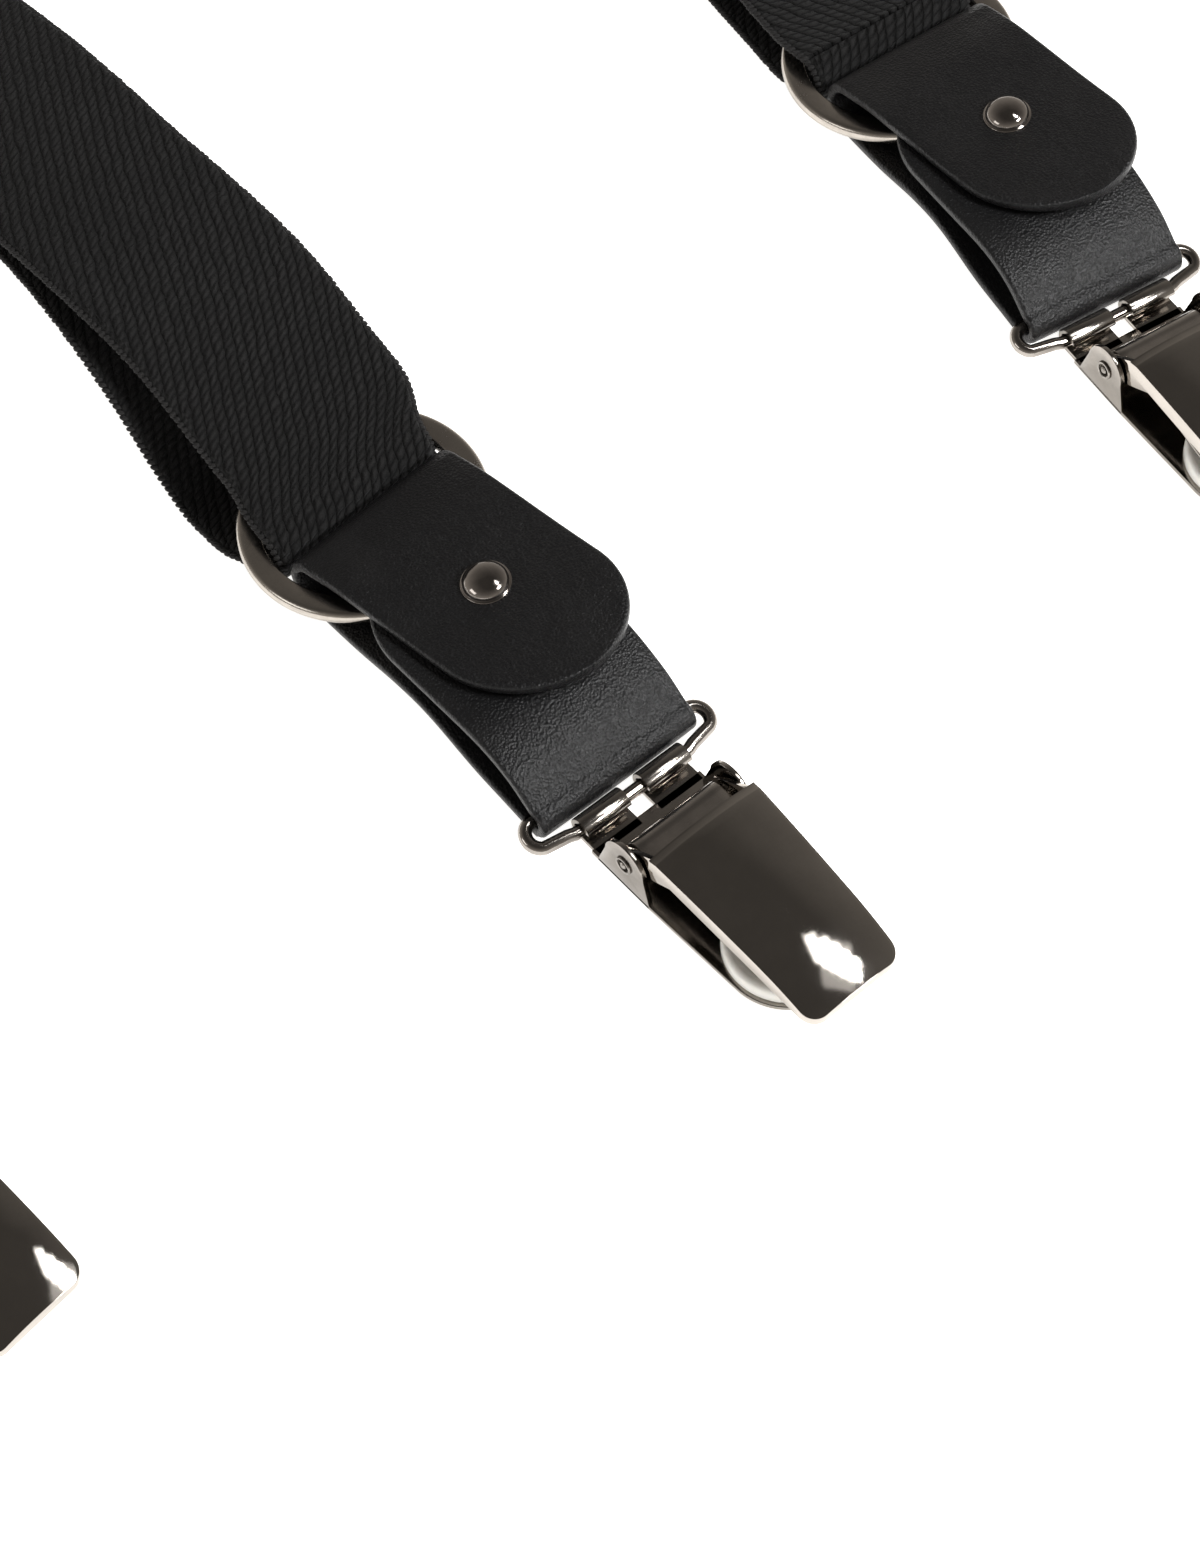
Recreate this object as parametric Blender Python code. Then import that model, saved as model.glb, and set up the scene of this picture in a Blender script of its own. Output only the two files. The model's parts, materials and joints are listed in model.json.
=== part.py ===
"""Clip-on Y-back braces lying flat: a doubled back strap, two front straps and three clip ends.

Units are metres and +Z is up. Every clip end is drawn in a frame of its own: +X runs across the
strap, -Y runs from the ring to the clip, and the ring's centre stands over the frame's origin.
"""
import math

import bmesh
import bpy
from mathutils import Matrix, Vector

MM = 0.001

# Clearances
GAP = 0.3 * MM            # between neighbours that only touch
RUNNING_GAP = 0.15 * MM   # round a pin that turns

# Webbing
WEB_WIDTH = 33.0 * MM
WEB_THICKNESS = 2.0 * MM
WEB_NECK_LENGTH = 9.0 * MM      # over which the webbing narrows to pass through its ring
WEB_REST_HEIGHT = 0.1 * MM      # underside of webbing that lies on the table
ARCH_ROLL = math.radians(4.0)   # roll of the back strap where it arches highest

# Ring
RING_BORE_RADIUS = 15.8 * MM
RING_SIDE_ROOM = 0.6 * MM       # beside the webbing that passes through the ring
RING_PLAY = 1.0 * MM            # room above and below the ring for the tab to swing
RING_BAND_WIDTH = 3.8 * MM
RING_THICKNESS = 2.4 * MM
RING_TILT = math.radians(3.5)   # clip side up
RING_ROLL = math.radians(6.0)   # +X side up, with both folds that it carries

# Leather tab
LEATHER_THICKNESS = 1.7 * MM
LEATHER_SIDE_ROOM = 1.0 * MM    # what the tab is narrower than the ring's bore, each side
TAB_LENGTH = 56.3 * MM          # ring centre to the clip loop's wide bar
FLAP_LENGTH = 48.0 * MM         # ring centre to the tip of the top flap
FLAP_SKEW = math.radians(6.5)   # swing of the flap to +X
UNDER_FLAP_LENGTH = 46.0 * MM   # wide bar to the hidden tip of the middle layer

# Rivet
RIVET_DISTANCE = 26.0 * MM      # ring centre to the rivet
RIVET_CAP_RADIUS = 3.9 * MM
RIVET_CAP_HEIGHT = 2.1 * MM
RIVET_STEM_RADIUS = 1.5 * MM
RIVET_WASHER_THICKNESS = 0.8 * MM

# Clip loop
WIRE_RADIUS = 1.05 * MM
LOOP_PITCH = 5.3 * MM           # wide bar to lower bar
LOOP_CORNER_RADIUS = 2.25 * MM

# Clip body
CLIP_WIDTH = 18.7 * MM          # over the lugs of the cover
COVER_FLARE = 0.6 * MM          # added to each side of the cover at its hinge end
COVER_TAPER = 0.8 * MM          # taken off each side of the cover at its free end
CLIP_GAUGE = 0.8 * MM           # sheet metal of the clip
KNUCKLE_GAP = 3.4 * MM          # open slot between the two rolled knuckles
PIN_RADIUS = 1.0 * MM
PIN_DISTANCE = 10.0 * MM        # lower bar to pin, along the clip
PIN_HEIGHT = 5.8 * MM
EAR_RADIUS = 4.1 * MM
EAR_FOOT_LENGTH = 11.5 * MM
PAD_RADIUS = 9.4 * MM
PAD_THICKNESS = 2.6 * MM
PAD_DISTANCE = 23.0 * MM        # pin to the pad's centre
COVER_SETBACK = 4.6 * MM        # pin to the cover's upper edge
COVER_LENGTH = 32.6 * MM
COVER_HINGE_HEIGHT = 13.4 * MM
COVER_TIP_HEIGHT = 9.3 * MM
COVER_CROWN = 0.9 * MM
COVER_WALL = 2.3 * MM           # depth of the turned-down sides
JAW_GAUGE = 0.7 * MM

# Slide adjuster
ADJUSTER_DISTANCE = 150.0 * MM  # ring centre to the adjuster's bar
ADJUSTER_LENGTH = 22.0 * MM
ADJUSTER_GAUGE = 1.2 * MM
ADJUSTER_BAR_RADIUS = 0.9 * MM
ADJUSTER_TRAVEL_DOWN = 80.0 * MM
ADJUSTER_TRAVEL_UP = 70.0 * MM

# Joining patch
PATCH_LEATHER = 1.6 * MM
PATCH_TOP_WIDTH = 66.0 * MM
PATCH_FOOT_WIDTH = 47.0 * MM
PATCH_HEIGHT = 66.0 * MM
PATCH_CORNER_RADIUS = 9.0 * MM
PATCH_ANCHOR_SPREAD = 3.0 * MM  # a front strap's hidden end, beside the centre line

# Where the ends lie
BACK_STRAP_LENGTH = 205.0 * MM  # back ring centre to the patch
SIDE_RING_X = 127.0 * MM
RIGHT_RING_Y = 16.0 * MM
LEFT_RING_Y = 34.0 * MM
RIGHT_TURN = -9.0               # degrees about +Z
LEFT_TURN = 7.0
FRONT_RUN = 425.0 * MM          # side ring to the roll-over at the shoulder
ROLL_RADIUS = 7.5 * MM
SHOULDER_LEAD = 20.0 * MM       # before the roll-over, where a strap's second solid starts

# Sizes that follow
RING_OUTER_RADIUS = RING_BORE_RADIUS + RING_BAND_WIDTH
TAB_WIDTH = 2.0 * (RING_BORE_RADIUS - LEATHER_SIDE_ROOM)
WEB_NECK_WIDTH = 2.0 * (RING_BORE_RADIUS - RING_SIDE_ROOM)
WEB_BED = WEB_REST_HEIGHT + WEB_THICKNESS / 2.0
FOLD_FOOT = WEB_BED + WEB_WIDTH / 2.0 * math.sin(RING_ROLL)
RING_HEIGHT = (FOLD_FOOT + WEB_THICKNESS / 2.0 + GAP + RING_PLAY + RING_THICKNESS / 2.0
               + RING_OUTER_RADIUS * math.tan(RING_TILT))
FOLD_INNER_RADIUS = WIRE_RADIUS + GAP
FOLD_RADIUS = FOLD_INNER_RADIUS + LEATHER_THICKNESS / 2.0
WIDE_BAR_HEIGHT = FOLD_INNER_RADIUS + LEATHER_THICKNESS + 0.35 * MM
KNUCKLE_INNER_RADIUS = WIRE_RADIUS + 0.2 * MM
KNUCKLE_OUTER_RADIUS = KNUCKLE_INNER_RADIUS + CLIP_GAUGE
BASE_UNDERSIDE = 0.3 * MM
LOWER_BAR_HEIGHT = BASE_UNDERSIDE + KNUCKLE_OUTER_RADIUS
LOWER_BAR_DISTANCE = TAB_LENGTH + LOOP_PITCH
PIN_POSITION = LOWER_BAR_DISTANCE + PIN_DISTANCE
PAD_POSITION = PIN_POSITION + PAD_DISTANCE
BASE_TOP = BASE_UNDERSIDE + CLIP_GAUGE
EAR_INNER = CLIP_WIDTH / 2.0 + GAP
EAR_OUTER = EAR_INNER + CLIP_GAUGE
BASE_END_RADIUS = PAD_RADIUS + 0.5 * MM
COVER_START = PIN_POSITION + COVER_SETBACK
COVER_END = COVER_START + COVER_LENGTH
ADJUSTER_LOOP_RADIUS = ADJUSTER_BAR_RADIUS + GAP + WEB_THICKNESS / 2.0
ADJUSTER_BAR_HEIGHT = WEB_BED + ADJUSTER_LOOP_RADIUS
RUN_HEIGHT = ADJUSTER_BAR_HEIGHT + ADJUSTER_LOOP_RADIUS + WEB_THICKNESS + GAP
PATCH_UNDERSIDE = 0.15 * MM
LOWER_LAYER = PATCH_UNDERSIDE + PATCH_LEATHER + GAP + WEB_THICKNESS / 2.0
UPPER_LAYER = LOWER_LAYER + WEB_THICKNESS + GAP

ROUND_STEPS = 24
X_AXIS = Vector((1.0, 0.0, 0.0))


# ---------------------------------------------------------------- helpers

def clear_scene():
    for thing in list(bpy.data.objects):
        bpy.data.objects.remove(thing, do_unlink=True)


def make_material(name, colour, roughness, metallic):
    finish = bpy.data.materials.new(name)
    finish.use_nodes = True
    shader = finish.node_tree.nodes["Principled BSDF"]
    shader.inputs["Base Color"].default_value = (*colour, 1.0)
    shader.inputs["Roughness"].default_value = roughness
    shader.inputs["Metallic"].default_value = metallic
    return finish


def finish_of(kind, owner):
    """A material of its own for one object, from the finish that its kind of piece has."""
    colour, roughness, metallic = {
        "webbing": ((0.012, 0.011, 0.011), 0.95, 0.0),
        "leather": ((0.018, 0.018, 0.019), 0.48, 0.0),
        "mirror": ((0.26, 0.24, 0.225), 0.08, 1.0),
        "satin": ((0.42, 0.39, 0.36), 0.28, 1.0),
        "nylon": ((0.86, 0.86, 0.84), 0.45, 0.0),
    }[kind]
    return make_material(owner + "_" + kind, colour, roughness, metallic)


def add_object(name, mesh, kind, parent, location=(0.0, 0.0, 0.0), turn=(0.0, 0.0, 0.0)):
    piece = bpy.data.objects.new(name, mesh)
    bpy.context.scene.collection.objects.link(piece)
    mesh.materials.append(finish_of(kind, name))
    piece.parent = parent
    piece.location = location
    piece.rotation_euler = turn
    mesh.shade_smooth()
    mesh.set_sharp_from_angle(angle=math.radians(40.0))
    return piece


def add_empty(name, parent, location=(0.0, 0.0, 0.0), turn=0.0):
    frame = bpy.data.objects.new(name, None)
    bpy.context.scene.collection.objects.link(frame)
    frame.parent = parent
    frame.location = location
    frame.rotation_euler = (0.0, 0.0, math.radians(turn))
    return frame


def finish_mesh(name, shape):
    bmesh.ops.recalc_face_normals(shape, faces=shape.faces)
    mesh = bpy.data.meshes.new(name)
    shape.to_mesh(mesh)
    shape.free()
    return mesh


def loft(name, sections, cyclic=False):
    """A closed skin over rings of points that all have the same count."""
    shape = bmesh.new()
    rows = [[shape.verts.new(point) for point in section] for section in sections]
    count = len(rows[0])
    pairs = list(zip(rows, rows[1:]))
    if cyclic:
        pairs.append((rows[-1], rows[0]))
    for near, far in pairs:
        for i in range(count):
            j = (i + 1) % count
            shape.faces.new((near[i], near[j], far[j], far[i]))
    if not cyclic:
        shape.faces.new(rows[0])
        shape.faces.new(rows[-1])
    return finish_mesh(name, shape)


def extrude_outline(name, outline, across):
    """A plate: the (y, z) outline, from the lowest to the highest x in across."""
    low, high = across
    return loft(name, [[(low, y, z) for y, z in outline], [(high, y, z) for y, z in outline]])


def extrude_plan(name, outline, levels):
    """A plate: the (x, y) outline, from the lowest to the highest z in levels."""
    low, high = levels
    return loft(name, [[(x, y, low) for x, y in outline], [(x, y, high) for x, y in outline]])


def turned(name, profile, steps=ROUND_STEPS):
    """A turned solid about Z: the profile of (radius, z) runs from axis to axis."""
    shape = bmesh.new()
    points = [shape.verts.new((radius, 0.0, z)) for radius, z in profile]
    edges = [shape.edges.new(pair) for pair in zip(points, points[1:])]
    bmesh.ops.spin(shape, geom=points + edges, cent=(0, 0, 0), axis=(0, 0, 1),
                   angle=2.0 * math.pi, steps=steps, use_merge=True)
    bmesh.ops.remove_doubles(shape, verts=shape.verts, dist=0.001 * MM)
    return finish_mesh(name, shape)


def rod(name, radius, length, steps=ROUND_STEPS):
    """A plain rod along X, centred."""
    half = length / 2.0
    mesh = turned(name, [(0.0, -half), (radius, -half), (radius, half), (0.0, half)], steps)
    mesh.transform(Matrix.Rotation(math.pi / 2.0, 4, "Y"))
    return mesh


def arc(centre, radius, start, end, steps):
    """Points (y, z) on an arc, both ends included, angles in degrees from +y towards +z."""
    angles = [math.radians(start + (end - start) * i / steps) for i in range(steps + 1)]
    return [(centre[0] + radius * math.cos(a), centre[1] + radius * math.sin(a)) for a in angles]


def cut_or_join(piece, tool_mesh, operation):
    """Applies one Boolean with a helper object that is removed afterwards."""
    tool = bpy.data.objects.new("tool", tool_mesh)
    bpy.context.scene.collection.objects.link(tool)
    tool.hide_render = True
    tool.display_type = "WIRE"
    modifier = piece.modifiers.new(operation, "BOOLEAN")
    modifier.operation = operation
    modifier.solver = "EXACT"
    modifier.object = tool
    saved_parent, saved_matrix = piece.parent, piece.matrix_basis.copy()
    piece.parent, piece.matrix_basis = None, Matrix.Identity(4)
    bpy.context.view_layer.update()
    graph = bpy.context.evaluated_depsgraph_get()
    result = bpy.data.meshes.new_from_object(piece.evaluated_get(graph))
    piece.modifiers.clear()
    piece.data = result
    piece.parent, piece.matrix_basis = saved_parent, saved_matrix
    bpy.data.objects.remove(tool, do_unlink=True)


def smooth_curve(points, per_span):
    """Points on a Catmull-Rom curve through the given points."""
    points = [Vector(p) for p in points]
    ends = [2.0 * points[0] - points[1]] + points + [2.0 * points[-1] - points[-2]]
    curve = []
    for a, b, c, d in zip(ends, ends[1:], ends[2:], ends[3:]):
        for i in range(per_span):
            t = i / per_span
            curve.append(0.5 * (2.0 * b + (c - a) * t + (2.0 * a - 5.0 * b + 4.0 * c - d) * t * t
                                + (3.0 * b - a - 3.0 * c + d) * t ** 3))
    return curve + [points[-1]]


def smooth_step(value):
    value = min(1.0, max(0.0, value))
    return value * value * (3.0 - 2.0 * value)


def band(name, path, thickness, half_width, shift=lambda i: 0.0, roll=lambda i: 0.0):
    """A flat strip along a path of (distance, height) points in a clip end's frame.

    half_width, shift and roll give the half width, the sideways shift and the roll in radians
    at a point's index. Distance runs towards the clip, which is -Y.
    """
    sections = []
    for i, point in enumerate(path):
        before, after = path[max(0, i - 1)], path[min(len(path) - 1, i + 1)]
        along = (after - before).normalized()
        side = X_AXIS * math.cos(roll(i)) + Vector((0.0, 0.0, 1.0)) * math.sin(roll(i))
        tangent = Vector((0.0, -along[0], along[1]))
        normal = side.cross(tangent).normalized()
        centre = Vector((shift(i), -point[0], point[1]))
        reach, rise = side * half_width(i), normal * thickness / 2.0
        sections.append([centre - reach - rise, centre + reach - rise,
                         centre + reach + rise, centre - reach + rise])
    return loft(name, sections)


def running_lengths(path):
    lengths = [0.0]
    for a, b in zip(path, path[1:]):
        lengths.append(lengths[-1] + (b - a).length)
    return lengths


def round_tip(distance, radius, full):
    """Half width of a strip at a distance from its round tip."""
    if distance >= radius:
        return full
    return full * math.sqrt(max(0.0016, 1.0 - (1.0 - distance / radius) ** 2))


def with_tip_points(path, radius, steps):
    """The path with its points near both ends spaced for round tips."""
    lengths = running_lengths(path)
    whole = lengths[-1]
    near = [radius * (1.0 - math.cos(0.5 * math.pi * k / steps)) for k in range(steps + 1)]
    stations = near + [l for l in lengths if near[-1] + 0.5 * MM < l < whole - near[-1] - 0.5 * MM]
    stations += [whole - l for l in reversed(near)]
    points = []
    for station in stations:
        i = max(k for k in range(len(path) - 1) if lengths[k] <= station)
        share = (station - lengths[i]) / (lengths[i + 1] - lengths[i])
        points.append(path[i].lerp(path[i + 1], share))
    return points


# ---------------------------------------------------------------- leather tab and rivet

def ring_level(distance):
    """Height of the ring's middle plane at a distance from its centre."""
    return RING_HEIGHT + distance * math.tan(RING_TILT)


def tab_path():
    """Centre line of the leather, as (distance, height), from flap tip to hidden tip."""
    half = LEATHER_THICKNESS / 2.0
    over = RING_THICKNESS / 2.0 + GAP + half
    pile = LEATHER_THICKNESS + GAP
    middle = ring_level(RING_OUTER_RADIUS) + over
    flap = middle + pile
    hidden_tip = TAB_LENGTH - UNDER_FLAP_LENGTH
    fold_top = flap - 1.4 * MM
    fold_foot = ring_level(0.0) - over - 1.1 * MM
    fold_radius = (fold_top - fold_foot) / 2.0
    fold_centre = (fold_radius + half + 0.4 * MM, fold_top - fold_radius)
    upper = [(FLAP_LENGTH, flap + 2.0 * MM),
             (RIVET_DISTANCE + 10.0 * MM, flap + 1.2 * MM),
             (RIVET_DISTANCE, flap + 0.4 * MM),
             (RING_BORE_RADIUS, flap - 0.1 * MM),
             (hidden_tip, flap - 0.5 * MM)]
    ring_turn = arc(fold_centre, fold_radius, 90.0, 270.0, 8)
    lower = [(RING_BORE_RADIUS, fold_foot + 0.7 * MM),
             (RIVET_DISTANCE, fold_foot + 2.2 * MM),
             (TAB_LENGTH * 0.6, fold_foot + 2.0 * MM),
             (TAB_LENGTH * 0.8, WIDE_BAR_HEIGHT - 0.6 * MM)]
    wire_turn = arc((TAB_LENGTH, WIDE_BAR_HEIGHT), FOLD_RADIUS, -90.0, 90.0, 8)
    returning = [(TAB_LENGTH - 5.0 * MM, WIDE_BAR_HEIGHT + FOLD_RADIUS + 3.2 * MM),
                 (TAB_LENGTH - 12.0 * MM, middle - 0.2 * MM),
                 (RIVET_DISTANCE + 9.0 * MM, middle + 0.35 * MM),
                 (RIVET_DISTANCE, middle + 0.2 * MM),
                 (RING_OUTER_RADIUS, middle),
                 (hidden_tip, middle - 0.6 * MM)]
    points = upper + ring_turn + lower + wire_turn + returning
    curve = smooth_curve([Vector(p) for p in points], 2)
    return with_tip_points(curve, TAB_WIDTH / 2.0, 6)


def flap_shift(distance):
    return max(0.0, distance - 2.0 * MM) * math.tan(FLAP_SKEW)


def tab_roll(distance):
    """Roll of the leather: the ring's at its fold, none at the wire."""
    return RING_ROLL * (1.0 - smooth_step((distance - RIVET_DISTANCE - 4.0 * MM) / (22.0 * MM)))


def make_leather_tab(label, frame, rivet):
    path = tab_path()
    lengths = running_lengths(path)
    half = TAB_WIDTH / 2.0
    fold = min(range(len(path)), key=lambda i: path[i][0])

    def half_width(i):
        from_tips = min(lengths[i], lengths[-1] - lengths[i])
        return round_tip(from_tips, half, half)

    def shift(i):
        return flap_shift(path[i][0]) if i <= fold else 0.0

    def roll(i):
        return RING_ROLL if i <= fold else tab_roll(path[i][0])

    strip = band("leather_tab", path, LEATHER_THICKNESS, half_width, shift, roll)
    piece = add_object("leather_tab_" + label, strip, "leather", frame)
    hole = turned("hole", [(0.0, -20.0 * MM), (RIVET_STEM_RADIUS + GAP, -20.0 * MM),
                           (RIVET_STEM_RADIUS + GAP, 20.0 * MM), (0.0, 20.0 * MM)], 16)
    hole.transform(rivet)
    cut_or_join(piece, hole, "DIFFERENCE")


def level_and_slope(path, distance):
    """Height and slope of a run of the path at a distance."""
    for a, b in zip(path, path[1:]):
        if min(a[0], b[0]) <= distance <= max(a[0], b[0]):
            slope = (b[1] - a[1]) / (b[0] - a[0])
            return a[1] + slope * (distance - a[0]), slope
    raise ValueError("the path does not reach this distance")


def rivet_seat():
    """Places the rivet: its frame on top of the flap, and the stack height down to the washer."""
    path = tab_path()
    fold = min(range(len(path)), key=lambda i: path[i][0])
    wire = max(range(len(path)), key=lambda i: path[i][0])
    top, slope = level_and_slope(path[:fold], RIVET_DISTANCE)
    normal = Vector((-math.tan(RING_ROLL), slope, 1.0)).normalized()
    centre = Vector((flap_shift(RIVET_DISTANCE), -RIVET_DISTANCE, top))
    seat = centre + normal * (LEATHER_THICKNESS / 2.0 + GAP)
    drop = top - level_and_slope(path[fold:wire], RIVET_DISTANCE)[0]
    foot = centre - normal * drop
    level, _ = level_and_slope(path[fold:wire], -foot.y)
    sheet = Vector((foot.x, foot.y, level + foot.x * math.tan(RING_ROLL)))
    stack = (seat - sheet).dot(normal) + LEATHER_THICKNESS / 2.0 + 2.0 * GAP
    turn = Vector((0.0, 0.0, 1.0)).rotation_difference(normal).to_matrix().to_4x4()
    return Matrix.Translation(seat) @ turn, stack


def make_rivet(label, frame, seat, stack):
    rim = RIVET_CAP_RADIUS
    dome = [(rim * math.cos(a), 0.35 * MM + (RIVET_CAP_HEIGHT - 0.35 * MM) * math.sin(a))
            for a in [math.radians(15.0 * k) for k in range(6)]]
    cap = turned("rivet_cap", [(0.0, 0.0), (rim, 0.0)] + dome + [(0.0, RIVET_CAP_HEIGHT)], 20)
    cap.transform(seat)
    add_object("rivet_cap_" + label, cap, "mirror", frame)
    foot = -stack - RIVET_WASHER_THICKNESS
    stem = turned("rivet_post", [(0.0, foot), (rim - 0.4 * MM, foot),
                                 (rim - 0.4 * MM, -stack), (RIVET_STEM_RADIUS, -stack),
                                 (RIVET_STEM_RADIUS, -GAP), (0.0, -GAP)], 16)
    stem.transform(seat)
    add_object("rivet_post_" + label, stem, "satin", frame)


def make_ring(label, frame):
    half = RING_THICKNESS / 2.0
    edge = half * 0.9
    inner, outer = RING_BORE_RADIUS, RING_OUTER_RADIUS
    profile = [(inner, -half + 0.4 * MM), (inner + 0.4 * MM, -half), (outer - edge, -half),
               (outer - 0.3 * MM, -half * 0.6), (outer, 0.0), (outer - 0.3 * MM, half * 0.6),
               (outer - edge, half), (inner + 0.4 * MM, half), (inner, half - 0.4 * MM)]
    steps = 2 * ROUND_STEPS
    sections = []
    for k in range(steps):
        angle = 2.0 * math.pi * k / steps
        sections.append([(r * math.cos(angle), r * math.sin(angle), z) for r, z in profile])
    ring = loft("ring", sections, cyclic=True)
    turn = Matrix.Rotation(-RING_ROLL, 3, "Y") @ Matrix.Rotation(-RING_TILT, 3, "X")
    add_object("ring_" + label, ring, "satin", frame, (0.0, 0.0, RING_HEIGHT), turn.to_euler())


# ---------------------------------------------------------------- clip

def loop_outline():
    """Centre line of the wire as (x, distance from the wide bar), closed."""
    straight = TAB_WIDTH / 2.0 + 0.1 * MM
    corner = arc((straight, LOOP_CORNER_RADIUS), LOOP_CORNER_RADIUS, -90.0, 80.0, 7)
    foot = (EAR_OUTER, LOOP_PITCH)
    right = corner + [foot]
    return right + [(-x, d) for x, d in reversed(right)]


def make_clip_loop(label, frame):
    fall = (WIDE_BAR_HEIGHT - LOWER_BAR_HEIGHT) / LOOP_PITCH
    outline = loop_outline()
    centre = [Vector((x, -(TAB_LENGTH + d), WIDE_BAR_HEIGHT - fall * d)) for x, d in outline]
    sections = []
    for i, point in enumerate(centre):
        along = (centre[(i + 1) % len(centre)] - centre[i - 1]).normalized()
        up = Vector((0.0, 0.0, 1.0))
        side = along.cross(up).normalized()
        rise = side.cross(along)
        ring = []
        for k in range(8):
            angle = 2.0 * math.pi * (k + 0.5) / 8
            ring.append(point + (side * math.cos(angle) + rise * math.sin(angle)) * WIRE_RADIUS)
        sections.append(ring)
    wire = loft("clip_loop", sections, cyclic=True)
    add_object("clip_loop_" + label, wire, "mirror", frame)


def make_base_plate(label, frame):
    """Stamped base: tongue, two rolled knuckles and two pierced ears."""
    foot = LOWER_BAR_DISTANCE + 3.0 * MM
    side = EAR_OUTER
    end = arc((0.0, PAD_POSITION), BASE_END_RADIUS, 0.0, 180.0, 14)
    ear_front = PIN_POSITION + EAR_FOOT_LENGTH * 0.5
    plan = [(-side, foot), (side, foot), (side, ear_front)] + end + [(-side, ear_front)]
    plate = extrude_plan("base", [(x, -y) for x, y in plan], (BASE_UNDERSIDE, BASE_TOP))
    piece = add_object("base_plate_" + label, plate, "mirror", frame)
    axle = (LOWER_BAR_DISTANCE, LOWER_BAR_HEIGHT)
    outer = arc(axle, KNUCKLE_OUTER_RADIUS, -90.0, -340.0, 14)
    inner = arc(axle, KNUCKLE_INNER_RADIUS, -340.0, -90.0, 14)
    hook = outer + inner + [(foot + 1.5 * MM, BASE_TOP), (foot + 1.5 * MM, BASE_UNDERSIDE)]
    knuckle = [(-y, z) for y, z in hook]
    half_slot = KNUCKLE_GAP / 2.0
    for low, high in ((-side + 0.4 * MM, -half_slot), (half_slot, side - 0.4 * MM)):
        cut_or_join(piece, extrude_outline("knuckle", knuckle, (low, high)), "UNION")
    crown = arc((PIN_POSITION, PIN_HEIGHT), EAR_RADIUS, 0.0, 180.0, 10)
    half_foot = EAR_FOOT_LENGTH / 2.0
    ear = crown + [(PIN_POSITION - half_foot, BASE_UNDERSIDE),
                   (PIN_POSITION + half_foot - 0.1 * MM, BASE_UNDERSIDE)]
    ear = [(-y, z) for y, z in ear]
    for low, high in ((-EAR_OUTER, -EAR_INNER), (EAR_INNER, EAR_OUTER)):
        cut_or_join(piece, extrude_outline("ear", ear, (low, high)), "UNION")
    cut_pin_hole(piece, PIN_RADIUS + RUNNING_GAP)


def cut_pin_hole(piece, radius):
    hole = rod("hole", radius, 3.0 * CLIP_WIDTH)
    hole.transform(Matrix.Translation((0.0, -PIN_POSITION, PIN_HEIGHT)))
    cut_or_join(piece, hole, "DIFFERENCE")


def make_hinge_pin(label, frame):
    face = EAR_OUTER + 0.1 * MM
    head = face + 0.45 * MM
    radius = PIN_RADIUS
    profile = [(0.0, -head), (radius * 1.2, -head), (radius * 1.5, -face - 0.1 * MM),
               (radius * 1.5, -face), (radius, -face), (radius, face), (radius * 1.5, face),
               (radius * 1.5, face + 0.1 * MM), (radius * 1.2, head), (0.0, head)]
    pin = turned("hinge_pin", profile, ROUND_STEPS)
    pin.transform(Matrix.Rotation(math.pi / 2.0, 4, "Y"))
    add_object("hinge_pin_" + label, pin, "satin", frame, (0.0, -PIN_POSITION, PIN_HEIGHT))


def cover_section(distance, top, wall):
    """One cross-section of the cover: a crowned plate with turned-down sides."""
    share = (distance - COVER_START) / COVER_LENGTH
    half = CLIP_WIDTH / 2.0 + COVER_FLARE - (COVER_FLARE + COVER_TAPER) * share
    gauge = CLIP_GAUGE
    shoulder = top - COVER_CROWN
    rows = []
    for inset in (0.0, gauge):
        reach = half - inset
        crown = [(reach * math.cos(a), shoulder - inset + COVER_CROWN * math.sin(a))
                 for a in [math.radians(180.0 - 20.0 * k) for k in range(1, 9)]]
        side = [(-reach, shoulder - wall), (-reach, shoulder - inset - 0.2 * MM)]
        row = side + crown + [(reach, side[1][1]), (reach, side[0][1])]
        rows.append(row if inset == 0.0 else row[::-1])
    return [(x, -distance, z) for x, z in rows[0] + rows[1]]


def cover_top(distance):
    share = (distance - COVER_START) / COVER_LENGTH
    return COVER_HINGE_HEIGHT + (COVER_TIP_HEIGHT - COVER_HINGE_HEIGHT) * share


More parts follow.
